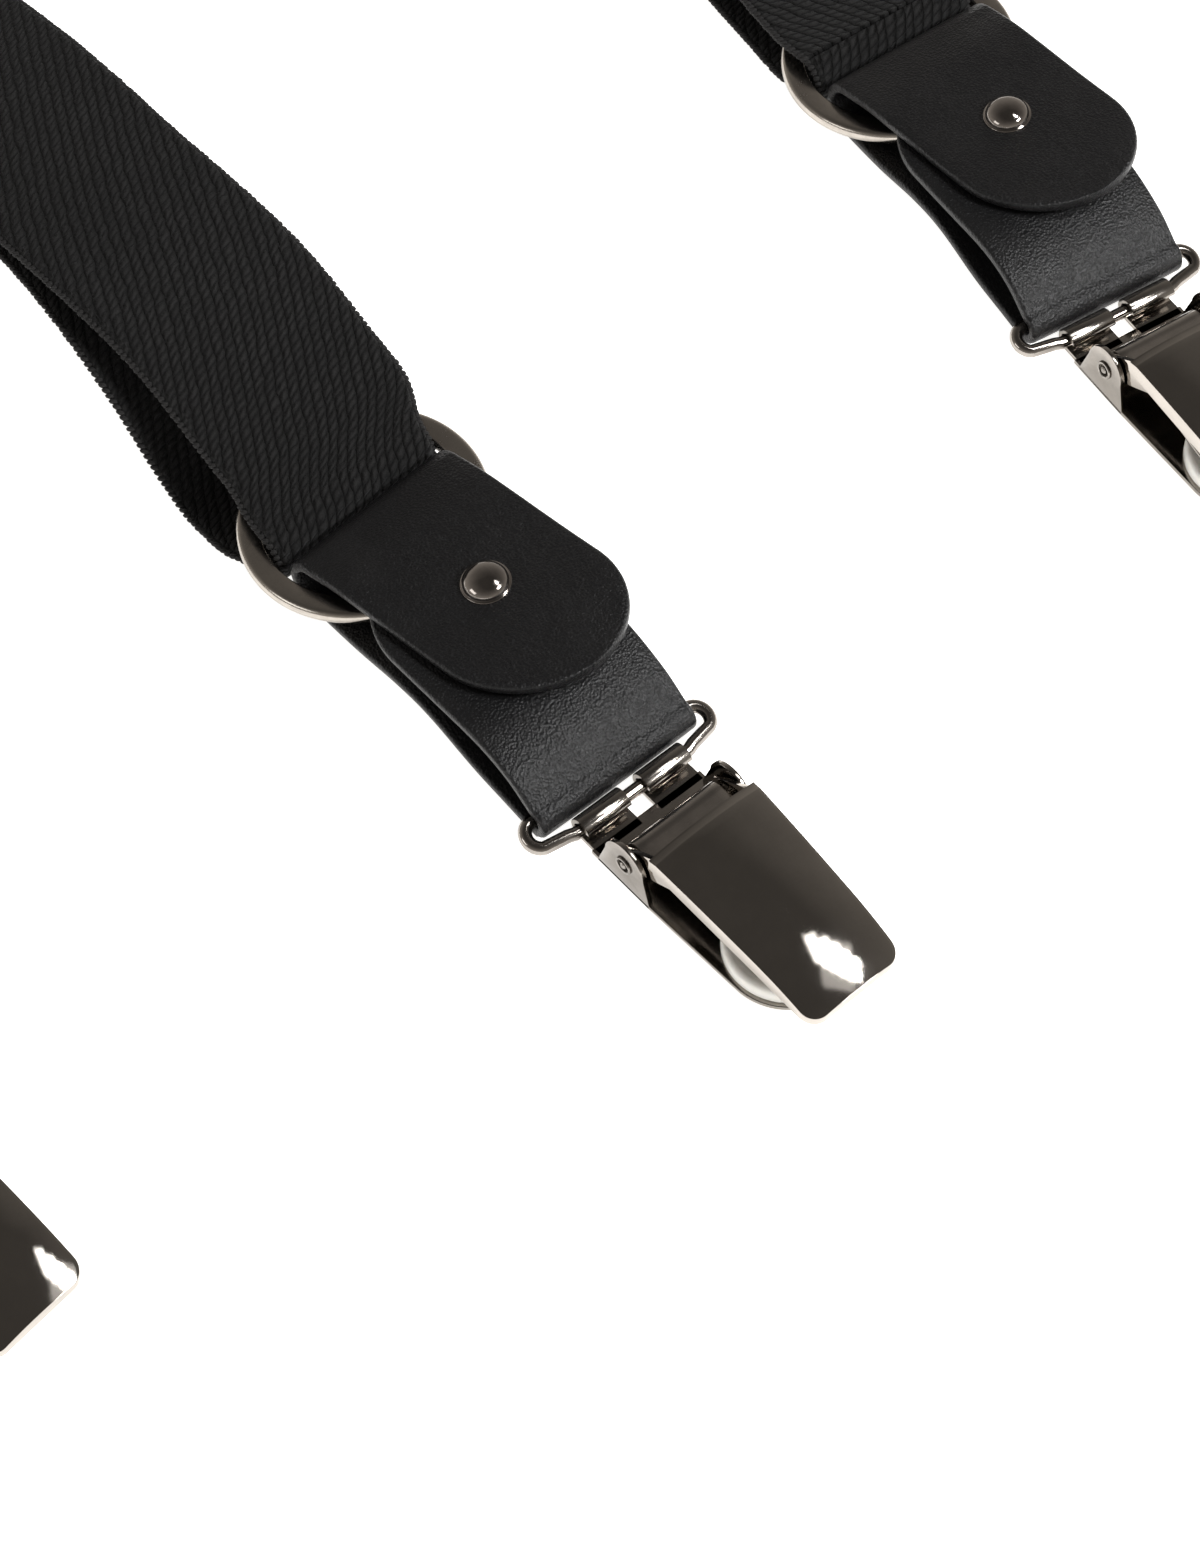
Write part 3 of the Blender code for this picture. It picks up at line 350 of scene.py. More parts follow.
@dataclass(frozen=True)
class Leather(Finish):
    """Smooth black box leather with a fine pebble and a few handling marks."""

    colour: tuple[float, float, float] = (0.006, 0.006, 0.0065)
    worn: tuple[float, float, float] = (0.013, 0.0125, 0.0125)
    roughness: float = 0.33
    pebble_mm: float = 0.42

    def make(self, name: str) -> bpy.types.Material:
        """The leather as a material of this name."""
        board = Board(name)
        place = board.object_mm()
        pebble = board.cells(place, 1.0 / self.pebble_mm)
        pore = board.noise(place, 4.5, 4.0, 0.7)
        cloud = board.noise(place, 0.10, 3.0, 0.6)
        crease = board.noise(board.stretched(place, (0.9, 0.25, 0.5)), 1.0, 3.0, 0.6)
        height = pebble * 0.5 + pore * 0.3 + crease * 0.35
        rub = (cloud * 0.7 + pore * 0.3).between(0.45, 0.75)
        board.set({"Base Color": board.blend(rub * 0.6, self.colour, self.worn),
                   "Roughness": self.roughness + (pore - 0.5) * 0.28 + (cloud - 0.5) * 0.14,
                   "Specular IOR Level": 0.30})
        board.bump(height, 0.24)
        return board.material


@dataclass(frozen=True)
class CutEdge(Finish):
    """Painted cut edge of leather, a little paler and pitted."""

    colour: tuple[float, float, float] = (0.045, 0.044, 0.044)

    def make(self, name: str) -> bpy.types.Material:
        """The edge paint as a material of this name."""
        board = Board(name)
        place = board.object_mm()
        grain = board.noise(place, 3.0, 4.0, 0.7)
        dark = tuple(c * 0.35 for c in self.colour)
        board.set({"Base Color": board.blend(grain.between(0.35, 0.65), dark, self.colour),
                   "Roughness": 0.42 + grain * 0.2})
        board.bump(grain, 0.09)
        return board.material


@dataclass(frozen=True)
class Metal(Finish):
    """Plated sheet or wire, with fine scratches, handling haze and pits."""

    colour: tuple[float, float, float] = (0.50, 0.465, 0.43)
    shade: tuple[float, float, float] = (0.36, 0.33, 0.30)
    roughness: float = 0.16
    haze: float = 0.10
    scratch_mm: float = 0.012
    grain: tuple[float, float, float] = (0.35, 5.0, 1.0)

    def make(self, name: str) -> bpy.types.Material:
        """The metal as a material of this name."""
        board = Board(name)
        place = board.object_mm()
        lines = board.noise(board.stretched(place, self.grain), 2.2, 3.0, 0.7)
        cross = board.noise(board.stretched(place, (self.grain[1], self.grain[0], 1.0)),
                            1.1, 2.0, 0.6)
        cloud = board.noise(place, 0.16, 3.0, 0.6)
        fine = board.noise(place, 7.0, 2.0, 0.6)
        mark = (lines * 0.65 + cross * 0.35).between(0.42, 0.72)
        board.set({"Base Color": board.blend(cloud.between(0.3, 0.7) * 0.6 + mark * 0.3,
                                             self.colour, self.shade),
                   "Metallic": 1.0,
                   "Roughness": self.roughness + cloud.between(0.35, 0.75) * self.haze
                   + mark * (self.haze * 0.6)})
        board.bump(lines * 0.6 + fine * 0.4, self.scratch_mm)
        return board.material


@dataclass(frozen=True)
class Nylon(Finish):
    """Moulded creamy nylon with a faint flow pattern."""

    colour: tuple[float, float, float] = (0.86, 0.845, 0.80)
    shade: tuple[float, float, float] = (0.70, 0.68, 0.63)

    def make(self, name: str) -> bpy.types.Material:
        """The nylon as a material of this name."""
        board = Board(name)
        place = board.object_mm()
        flow = board.noise(place, 0.30, 3.0, 0.6)
        pit = board.noise(place, 6.0, 3.0, 0.6)
        board.set({"Base Color": board.blend(flow.between(0.45, 0.8) * 0.6,
                                             self.colour, self.shade),
                   "Roughness": 0.34 + pit * 0.2, "Subsurface Weight": 0.12,
                   "Subsurface Radius": (0.0012, 0.0010, 0.0008)})
        board.bump(pit * 0.6 + flow * 0.4, 0.05)
        return board.material


# ------------------------------------------------------------------ shapes

Path = list[Vector]


def smooth_step(value: float) -> float:
    """Eases 0 to 1."""
    value = min(1.0, max(0.0, value))
    return value * value * (3.0 - 2.0 * value)


def arc(centre: Sequence[float], radius: float, start: float, end: float,
        steps: int) -> list[tuple[float, float]]:
    """Points on an arc, both ends included.

    Args:
        centre: Its centre in the plane.
        radius: Its radius.
        start: First angle in degrees from the first axis.
        end: Last angle in degrees.
        steps: Number of spans.

    Returns:
        The points as pairs.
    """
    angles = [math.radians(start + (end - start) * i / steps) for i in range(steps + 1)]
    return [(centre[0] + radius * math.cos(a), centre[1] + radius * math.sin(a)) for a in angles]


def smooth_curve(points: Sequence[Sequence[float]], per_span: int) -> Path:
    """Points on a Catmull-Rom curve.

    Args:
        points: What the curve runs through.
        per_span: Points for each span.

    Returns:
        The finer points.
    """
    given = [Vector(p) for p in points]
    ends = [2.0 * given[0] - given[1]] + given + [2.0 * given[-1] - given[-2]]
    curve = []
    for a, b, c, d in zip(ends, ends[1:], ends[2:], ends[3:]):
        for i in range(per_span):
            t = i / per_span
            curve.append(0.5 * (2.0 * b + (c - a) * t + (2.0 * a - 5.0 * b + 4.0 * c - d) * t * t
                                + (3.0 * b - a - 3.0 * c + d) * t ** 3))
    return curve + [given[-1]]


def running_lengths(path: Path) -> list[float]:
    """Length along the path at each of its points."""
    lengths = [0.0]
    for a, b in zip(path, path[1:]):
        lengths.append(lengths[-1] + (b - a).length)
    return lengths


def stations(path: Path, places: Sequence[float]) -> Path:
    """Points of the path at these lengths along it.

    Args:
        path: The path.
        places: Rising lengths.

    Returns:
        One point for each length.
    """
    lengths = running_lengths(path)
    points, k = [], 0
    for place in places:
        while k < len(path) - 2 and lengths[k + 1] < place:
            k += 1
        span = max(1e-12, lengths[k + 1] - lengths[k])
        points.append(path[k].lerp(path[k + 1], (place - lengths[k]) / span))
    return points


def spaced(length: float, step: float) -> list[float]:
    """Even places from 0 to length, about one step apart."""
    count = max(1, round(length / step))
    return [length * i / count for i in range(count + 1)]


def mesh_of(shape: bmesh.types.BMesh, name: str) -> bpy.types.Mesh:
    """Closes a bmesh into a mesh with outward faces.

    Args:
        shape: The bmesh, freed here.
        name: The mesh's name.

    Returns:
        The mesh.
    """
    bmesh.ops.remove_doubles(shape, verts=shape.verts, dist=0.0005 * MM)
    bmesh.ops.recalc_face_normals(shape, faces=shape.faces)
    mesh = bpy.data.meshes.new(name)
    shape.to_mesh(mesh)
    shape.free()
    return mesh


def joined(name: str, parts: Sequence[bpy.types.Mesh]) -> bpy.types.Mesh:
    """One mesh of several, each already facing outwards."""
    shape = bmesh.new()
    for part in parts:
        shape.from_mesh(part)
        bpy.data.meshes.remove(part)
    mesh = bpy.data.meshes.new(name)
    shape.to_mesh(mesh)
    shape.free()
    return mesh


@dataclass
class Skin:
    """A closed tube of rows, or a ring of them, that carries flat coordinates."""

    rows: list[list[Vector]]
    across: list[float]
    along: list[float]
    cyclic: bool = False
    edge_columns: frozenset[int] = frozenset()

    def mesh(self, name: str) -> bpy.types.Mesh:
        """Builds the skin.

        Args:
            name: The mesh's name.

        Returns:
            A closed mesh; columns in edge_columns take its second material.
        """
        shape = bmesh.new()
        layer = shape.loops.layers.uv.new("flat")
        grid = [[shape.verts.new(point) for point in row] for row in self.rows]
        count = len(grid[0])
        spans = len(grid) if self.cyclic else len(grid) - 1
        for r in range(spans):
            near, far = grid[r], grid[(r + 1) % len(grid)]
            for i in range(count):
                j = (i + 1) % count
                face = shape.faces.new((near[i], near[j], far[j], far[i]))
                corners = ((i, r), (i + 1, r), (i + 1, r + 1), (i, r + 1))
                for loop, (column, row) in zip(face.loops, corners):
                    loop[layer].uv = (self.across[column], self.along[row])
                face.material_index = 1 if i in self.edge_columns else 0
                face.smooth = True
        if not self.cyclic:
            for r in (0, len(grid) - 1):
                face = shape.faces.new(grid[r])
                for i, loop in enumerate(face.loops):
                    loop[layer].uv = (self.across[i], self.along[r])
                face.material_index = 1 if self.edge_columns else 0
        bmesh.ops.recalc_face_normals(shape, faces=shape.faces)
        mesh = bpy.data.meshes.new(name)
        shape.to_mesh(mesh)
        shape.free()
        return mesh


@dataclass
class Strip:
    """A flat strip with rounded edges that follows a path in a clip end's side view."""

    path: Path
    thickness: float
    half_width: Callable[[int], float]
    shift: Callable[[int], float] = lambda i: 0.0
    roll: Callable[[int], float] = lambda i: 0.0
    columns: int = 12
    under_columns: int = 8
    edge: float = 0.5 * MM
    crown: float = 0.0
    relief: Optional[Callable[[float, float], float]] = None

    def outline(self, half: float) -> tuple[list[tuple[float, float]], frozenset[int]]:
        """Cross-section as (side, rise) pairs, and the columns that are its cut edges.

        Args:
            half: Half the strip's width here.

        Returns:
            The pairs, counter-clockwise from the lower left, and the edge columns.
        """
        edge = min(self.edge, self.thickness / 2.0, half * 0.6)
        flat, rise = half - edge, self.thickness / 2.0 - edge
        under = [(-flat + 2.0 * flat * i / self.under_columns, -rise - edge)
                 for i in range(self.under_columns + 1)]
        right = arc((flat, -rise), edge, -90.0, 0.0, 3)[1:] + arc((flat, rise), edge, 0.0, 90.0, 3)
        over = [(flat - 2.0 * flat * i / self.columns, rise + edge)
                for i in range(1, self.columns + 1)]
        left = (arc((-flat, rise), edge, 90.0, 180.0, 3)[1:]
                + arc((-flat, -rise), edge, 180.0, 270.0, 3)[:-1])
        first = len(under) - 1
        second = first + len(right) + len(over)
        edges = list(range(first, first + len(right))) + list(range(second - 0, second + 7))
        section = under + right + over + left
        return section, frozenset(i for i in edges if i < len(section))

    def skin(self) -> Skin:
        """The strip's rows and flat coordinates."""
        lengths = running_lengths(self.path)
        rows, across = [], []
        edges: frozenset[int] = frozenset()
        widest = max(self.half_width(i) for i in range(len(self.path)))
        for i, point in enumerate(self.path):
            before = self.path[max(0, i - 1)]
            after = self.path[min(len(self.path) - 1, i + 1)]
            step = (after - before).normalized()
            roll = self.roll(i)
            side = X_AXIS * math.cos(roll) + Vector((0.0, 0.0, 1.0)) * math.sin(roll)
            normal = side.cross(Vector((0.0, -step[0], step[1]))).normalized()
            centre = Vector((self.shift(i), -point[0], point[1]))
            half = self.half_width(i)
            section, edges = self.outline(half)
            row = []
            for reach, rise in section:
                lift = rise
                if rise > 0.0:
                    lift += self.crown * (1.0 - (reach / max(half, 1e-9)) ** 2)
                    if self.relief:
                        lift += self.relief(reach / MM, lengths[i] / MM)
                row.append(centre + side * reach + normal * lift)
            rows.append(row)
        section, edges = self.outline(widest)
        total = 0.0
        across.append(-widest / MM)
        closed = section + [section[0]]
        for a, b in zip(closed, closed[1:]):
            total += math.hypot(b[0] - a[0], b[1] - a[1])
            across.append(-widest / MM + total / MM)
        return Skin(rows, across, [l / MM for l in lengths], False, edges)


def turned(name: str, profile: Sequence[tuple[float, float]], steps: int) -> bpy.types.Mesh:
    """A turned solid about Z.

    Args:
        name: The mesh's name.
        profile: (radius, height) pairs from axis to axis.
        steps: Segments round the axis.

    Returns:
        The mesh.
    """
    shape = bmesh.new()
    points = [shape.verts.new((radius, 0.0, z)) for radius, z in profile]
    edges = [shape.edges.new(pair) for pair in zip(points, points[1:])]
    bmesh.ops.spin(shape, geom=points + edges, cent=(0, 0, 0), axis=(0, 0, 1),
                   angle=2.0 * math.pi, steps=steps, use_merge=True)
    return mesh_of(shape, name)


def slab(name: str, outline: Sequence[tuple[float, float]], low: float, high: float,
         place: Callable[[float, float, float], Vector], bevel: float,
         hole: Sequence[tuple[float, float]] = ()) -> bpy.types.Mesh:
    """A plate cut to an outline, with its rims eased.

    Args:
        name: The mesh's name.
        outline: Closed outline in the plate's plane.
        low: Lower level.
        high: Upper level.
        place: Carries (a, b, level) into space.
        bevel: Width of the eased rims.
        hole: A closed hole in the plate, or nothing.

    Returns:
        The mesh.
    """
    shape = bmesh.new()
    edges = []
    for loop in (outline, hole):
        verts = [shape.verts.new((a, b, low)) for a, b in loop]
        edges += [shape.edges.new((verts[i], verts[(i + 1) % len(verts)]))
                  for i in range(len(verts))]
    if hole:
        bmesh.ops.triangle_fill(shape, use_beauty=True, edges=edges)
    else:
        shape.faces.new([v for v in shape.verts])
    grown = bmesh.ops.extrude_face_region(shape, geom=list(shape.faces))
    lifted = [g for g in grown["geom"] if isinstance(g, bmesh.types.BMVert)]
    bmesh.ops.translate(shape, verts=lifted, vec=(0.0, 0.0, high - low))
    bmesh.ops.recalc_face_normals(shape, faces=shape.faces)
    rims = [e for e in shape.edges if len(e.link_faces) == 2
            and e.calc_face_angle(0.0) > math.radians(38.0)]
    bmesh.ops.bevel(shape, geom=rims, offset=bevel, segments=2, affect="EDGES", profile=0.6)
    for vert in shape.verts:
        vert.co = place(*vert.co)
    return mesh_of(shape, name)


def shaded(mesh: bpy.types.Mesh, sharp: float = 35.0) -> bpy.types.Mesh:
    """Smooth shading with edges above the angle left sharp."""
    mesh.shade_smooth()
    mesh.set_sharp_from_angle(angle=math.radians(sharp))
    return mesh


@dataclass(frozen=True)
class EndPlace:
    """Where one clip end stands, read from its joints."""

    label: str
    matrix: Matrix

    @staticmethod
    def read(label: str, joints: Sequence[dict[str, Any]]) -> "EndPlace":
        """Finds an end's frame.

        Args:
            label: back, left or right.
            joints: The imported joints.

        Returns:
            The end's place.
        """
        by_name = {joint["name"]: joint for joint in joints}
        ring = Vector(by_name["ring_spin_" + label]["pos_m"])
        lift = Vector(by_name["tab_lift_" + label]["axis"])
        side = Vector((-lift.x, -lift.y, 0.0)).normalized()
        back = Vector((0.0, 0.0, 1.0)).cross(side)
        turn = Matrix((side, back, (0.0, 0.0, 1.0))).transposed().to_4x4()
        return EndPlace(label, Matrix.Translation((ring.x, ring.y, 0.0)) @ turn)


def settle(name: str, mesh: bpy.types.Mesh, body: Optional[str], nodes: Sequence[str],
           slot: Slot, finishes: Sequence[bpy.types.Material]) -> bpy.types.Object:
    """Puts a finished mesh into the scene.

    Args:
        name: The piece's name.
        mesh: Its mesh, in the model's frame.
        body: The body that it rides on, or None.
        nodes: CAD nodes that it stands for.
        slot: The record's material slot; not used.
        finishes: Its materials in order.

    Returns:
        The new object.
    """
    piece = bpy.data.objects.new(name, mesh)
    bpy.context.scene.collection.objects.link(piece)
    mesh.materials.clear()
    for finish in finishes:
        mesh.materials.append(finish)
    if body:
        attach(piece, body)
    if nodes:
        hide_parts(*nodes)
    LOG.info("%s: %d faces", name, len(mesh.polygons))
    return piece


# ------------------------------------------------------------------ repeats

@dataclass
class BeadRow:
    """Geometry Nodes that lay small rounded beads along lines: stitches or selvedge yarns."""

    spacing: float
    length: float
    width: float
    height: float
    jitter: float = 0.0
    lean: float = 0.0
    seed: int = 3

    def tree(self) -> Any:
        """Builds the tree with named inputs."""
        tree = bpy.data.node_groups.new("bead_row", "GeometryNodeTree")
        face = tree.interface
        face.new_socket(name="Lines", in_out="INPUT", socket_type="NodeSocketGeometry")
        for name in ("Spacing", "Length", "Width", "Height", "Jitter", "Lean"):
            face.new_socket(name=name, in_out="INPUT", socket_type="NodeSocketFloat")
        face.new_socket(name="Seed", in_out="INPUT", socket_type="NodeSocketInt")
        face.new_socket(name="Finish", in_out="INPUT", socket_type="NodeSocketMaterial")
        face.new_socket(name="Beads", in_out="OUTPUT", socket_type="NodeSocketGeometry")
        make, link = tree.nodes.new, tree.links.new
        given, made = make("NodeGroupInput"), make("NodeGroupOutput")
        curve = make("GeometryNodeMeshToCurve")
        even = make("GeometryNodeResampleCurve")
        even.mode = "LENGTH"
        tangent = make("GeometryNodeInputTangent")
        facing = make("FunctionNodeAlignRotationToVector")
        facing.axis = "X"
        chance = make("FunctionNodeRandomValue")
        chance.data_type = "FLOAT_VECTOR"
        spread = make("ShaderNodeVectorMath")
        spread.operation = "SCALE"
        base = make("ShaderNodeCombineXYZ")
        total = make("ShaderNodeVectorMath")
        turn = make("FunctionNodeRotateRotation")
        turn.rotation_space = "LOCAL"
        euler = make("FunctionNodeEulerToRotation")
        bead = make("GeometryNodeMeshUVSphere")
        bead.inputs["Segments"].default_value = 8
        bead.inputs["Rings"].default_value = 5
        bead.inputs["Radius"].default_value = 0.5
        sizes = make("ShaderNodeCombineXYZ")
        shaped = make("GeometryNodeTransform")
        placed = make("GeometryNodeInstanceOnPoints")
        real = make("GeometryNodeRealizeInstances")
        soft = make("GeometryNodeSetShadeSmooth")
        dressed = make("GeometryNodeSetMaterial")
        chance.inputs[0].default_value = (-1.0, -1.0, -1.0)
        chance.inputs[1].default_value = (1.0, 1.0, 1.0)
        link(given.outputs["Lines"], curve.inputs[0])
        link(curve.outputs[0], even.inputs["Curve"])
        link(given.outputs["Spacing"], even.inputs["Length"])
        link(tangent.outputs[0], facing.inputs["Vector"])
        link(given.outputs["Seed"], chance.inputs["Seed"])
        link(chance.outputs[0], spread.inputs[0])
        link(given.outputs["Jitter"], spread.inputs["Scale"])
        link(given.outputs["Lean"], base.inputs["Z"])
        link(base.outputs[0], total.inputs[0])
        link(spread.outputs[0], total.inputs[1])
        link(total.outputs[0], euler.inputs[0])
        link(facing.outputs[0], turn.inputs["Rotation"])
        link(euler.outputs[0], turn.inputs["Rotate By"])
        for axis, name in (("X", "Length"), ("Y", "Width"), ("Z", "Height")):
            link(given.outputs[name], sizes.inputs[axis])
        link(bead.outputs["Mesh"], shaped.inputs["Geometry"])
        link(sizes.outputs[0], shaped.inputs["Scale"])
        link(even.outputs[0], placed.inputs["Points"])
        link(shaped.outputs[0], placed.inputs["Instance"])
        link(turn.outputs[0], placed.inputs["Rotation"])
        link(placed.outputs[0], real.inputs[0])
        link(real.outputs[0], soft.inputs[0])
        link(soft.outputs[0], dressed.inputs["Geometry"])
        link(given.outputs["Finish"], dressed.inputs["Material"])
        link(dressed.outputs[0], made.inputs["Beads"])
        return tree

    def lay(self, name: str, lines: Sequence[Path],
            finish: bpy.types.Material) -> bpy.types.Mesh:
        """Lays beads along lines.

        Args:
            name: The mesh's name.
            lines: Polylines in the model's frame.
            finish: The beads' material.

        Returns:
            A plain mesh.
        """
        shape = bmesh.new()
        for line in lines:
            verts = [shape.verts.new(point) for point in line]
            for pair in zip(verts, verts[1:]):
                shape.edges.new(pair)
        guide = bpy.data.meshes.new(name + "_line")
        shape.to_mesh(guide)
        shape.free()
        holder = bpy.data.objects.new(name + "_line", guide)
        bpy.context.scene.collection.objects.link(holder)
        modifier = holder.modifiers.new("beads", "NODES")
        modifier.node_group = self.tree()
        values = {"Spacing": self.spacing, "Length": self.length, "Width": self.width,
                  "Height": self.height, "Jitter": self.jitter, "Lean": self.lean,
                  "Seed": self.seed, "Finish": finish}
        for item in modifier.node_group.interface.items_tree:
            if item.name in values:
                modifier[item.identifier] = values[item.name]
        graph = bpy.context.evaluated_depsgraph_get()
        mesh = bpy.data.meshes.new_from_object(holder.evaluated_get(graph))
        bpy.data.objects.remove(holder, do_unlink=True)
        mesh.name = name
        return mesh


# ------------------------------------------------------------------ shared sizes

@dataclass(frozen=True)
class Sizes:
    """Driving sizes that several pieces share."""

    gap: float = 0.3 * MM
    web_width: float = 33.0 * MM
    web_thickness: float = 2.0 * MM
    web_neck_length: float = 9.0 * MM
    web_rest: float = 0.1 * MM
    arch_roll: float = math.radians(4.0)
    bore: float = 15.8 * MM
    side_room: float = 0.6 * MM
    ring_play: float = 1.0 * MM
    ring_band: float = 3.8 * MM
    ring_thickness: float = 2.4 * MM
    ring_tilt: float = math.radians(3.5)
    ring_roll: float = math.radians(6.0)
    leather: float = 1.7 * MM
    tab_length: float = 56.3 * MM
    flap_length: float = 48.0 * MM
    flap_skew: float = math.radians(6.5)
    under_flap: float = 46.0 * MM
    rivet_at: float = 26.0 * MM
    wire: float = 1.05 * MM
    loop_pitch: float = 5.3 * MM
    clip_width: float = 18.7 * MM
    gauge: float = 0.8 * MM
    pin_radius: float = 1.0 * MM
    pin_rise: float = 5.8 * MM
    pad_radius: float = 9.4 * MM
    pad_thickness: float = 2.6 * MM
    back_length: float = 205.0 * MM
    patch_height: float = 66.0 * MM
    patch_leather: float = 1.6 * MM

    @property
    def ring_outer(self) -> float:
        """Outer radius of the ring."""
        return self.bore + self.ring_band

    @property
    def tab_width(self) -> float:
        """Width of the leather."""
        return 2.0 * (self.bore - 1.0 * MM)

    @property
    def web_bed(self) -> float:
        """Centre height of webbing on the table."""
        return self.web_rest + self.web_thickness / 2.0

    @property
    def fold_foot(self) -> float:
        """Centre height of the webbing's lower layer at the ring."""
        return self.web_bed + self.web_width / 2.0 * math.sin(self.ring_roll)

    @property
    def ring_height(self) -> float:
        """Height of the ring's centre."""
        return (self.fold_foot + self.web_thickness / 2.0 + self.gap + self.ring_play
                + self.ring_thickness / 2.0 + self.ring_outer * math.tan(self.ring_tilt))

    @property
    def wide_bar_height(self) -> float:
        """Height of the wire loop's wide bar."""
        return self.wire + self.gap + self.leather + 0.35 * MM

    @property
    def lower_bar_at(self) -> float:
        """Distance from the ring's centre to the loop's lower bar."""
        return self.tab_length + self.loop_pitch

    @property
    def knuckle_inner(self) -> float:
        """Bore radius of the rolled knuckles."""
        return self.wire + 0.2 * MM

    @property
    def lower_bar_height(self) -> float:
        """Height of the loop's lower bar."""
        return 0.3 * MM + self.knuckle_inner + self.gauge

    @property
    def pin_at(self) -> float:
        """Distance from the ring's centre to the hinge pin."""
        return self.lower_bar_at + 10.0 * MM

    @property
    def pad_at(self) -> float:
        """Distance from the ring's centre to the pad's centre."""
        return self.pin_at + 23.0 * MM

    @property
    def ear_inner(self) -> float:
        """Inner face of the base plate's ears."""
        return self.clip_width / 2.0 + self.gap

    @property
    def ear_outer(self) -> float:
        """Outer face of the base plate's ears."""
        return self.ear_inner + self.gauge

    @property
    def lower_layer(self) -> float:
        """Centre height of the lower webbing in the patch."""
        return 0.15 * MM + self.patch_leather + self.gap + self.web_thickness / 2.0

    @property
    def upper_layer(self) -> float:
        """Centre height of the upper webbing in the patch."""
        return self.lower_layer + self.web_thickness + self.gap

    def ring_level(self, distance: float) -> float:
        """Height of the ring's middle plane at a distance."""
        return self.ring_height + distance * math.tan(self.ring_tilt)

    def fold_height(self) -> float:
        """Centre height of the webbing's upper run at the ring."""
        clear = self.ring_thickness / 2.0 + self.gap + self.ring_play
        return self.ring_level(-6.0 * MM) + clear + self.web_thickness / 2.0

    def ring_fold(self, steps: int) -> list[tuple[float, float]]:
        """The webbing's turn through the ring, as (distance, height)."""
        radius = (self.fold_height() - self.fold_foot) / 2.0
        centre = (-(radius + self.web_thickness / 2.0 + 0.35 * MM), self.fold_foot + radius)
        return arc(centre, radius, 90.0, -90.0, steps)

    def web_half(self, distance: float) -> float:
        """Half width of the webbing at a distance, narrowed at the ring."""
        neck = 2.0 * (self.bore - self.side_room)
        grown = smooth_step((-distance - 3.0 * MM) / self.web_neck_length)
        return (neck + (self.web_width - neck) * grown) / 2.0


SIZES = Sizes()


@dataclass(frozen=True)
class TwillRelief:
    """The twill's wales as a height over flat coordinates, in phase with the finish."""

    weave: Webbing = Webbing()
    depth: float = 0.08 * MM

    def __call__(self, across_mm: float, along_mm: float) -> float:
        """Lift of the surface at a place, in metres."""
        turn = math.radians(self.weave.wale_angle)
        place = (-across_mm * math.cos(turn) - along_mm * math.sin(turn)) / self.weave.wale_mm
        fade = smooth_step((15.6 - abs(across_mm)) / 1.2)
        return self.depth * (math.sin((place % 1.0) * math.pi) ** 0.7 - 0.6) * fade


# ------------------------------------------------------------------ clip end

@dataclass
class Ring:
    """Plain flat ring: rounded outer rim, crisp inner edge."""

    place: EndPlace
    inner: float = SIZES.bore
    outer: float = SIZES.ring_outer
    thickness: float = SIZES.ring_thickness
    steps: int = 144
    finish: Metal = Metal((0.46, 0.425, 0.38), (0.33, 0.30, 0.27), 0.15, 0.10, 0.016,
                          (1.2, 2.5, 1.0))

    def build(self) -> bpy.types.Mesh:
        """The ring, tilted as it lies."""
        half = self.thickness / 2.0
        ease, rim = 0.28 * MM, 1.0 * MM
        profile = arc((self.inner + ease, half - ease), ease, 180.0, 90.0, 3)
        profile.append((self.outer - rim - 0.25 * MM, half))
        profile += [(self.outer - rim + rim * math.sin(a), half * math.cos(a) ** 0.9)
                    for a in [math.radians(9.0 * k) for k in range(1, 10)]]
        lower = [(r, -z) for r, z in reversed(profile)]
        section = profile + [(self.outer, 0.0)] + lower
        rows = [[Vector((r * math.cos(a), r * math.sin(a), z)) for r, z in section]
                for a in [2.0 * math.pi * k / self.steps for k in range(self.steps)]]
        flat = [0.0]
        for a, b in zip(section, section[1:] + section[:1]):
            flat.append(flat[-1] + math.hypot(b[0] - a[0], b[1] - a[1]) / MM)
        along = [2.0 * math.pi * self.outer / MM * k / self.steps
                 for k in range(self.steps + 1)]
        mesh = Skin(rows, flat, along, True).mesh("ring")
        turn = (Matrix.Rotation(-SIZES.ring_roll, 4, "Y")
                @ Matrix.Rotation(-SIZES.ring_tilt, 4, "X"))
        mesh.transform(Matrix.Translation((0.0, 0.0, SIZES.ring_height)) @ turn)
        mesh.transform(self.place.matrix)
        return shaded(mesh, 50.0)

    def dress(self) -> None:
        """Finishes the ring and seats it on its body."""
        label = self.place.label
        settle("ring_shape_" + label, self.build(), "ring_" + label, ["ring_" + label],
               Slot.SATIN, [self.finish.make("ring_nickel_" + label)])


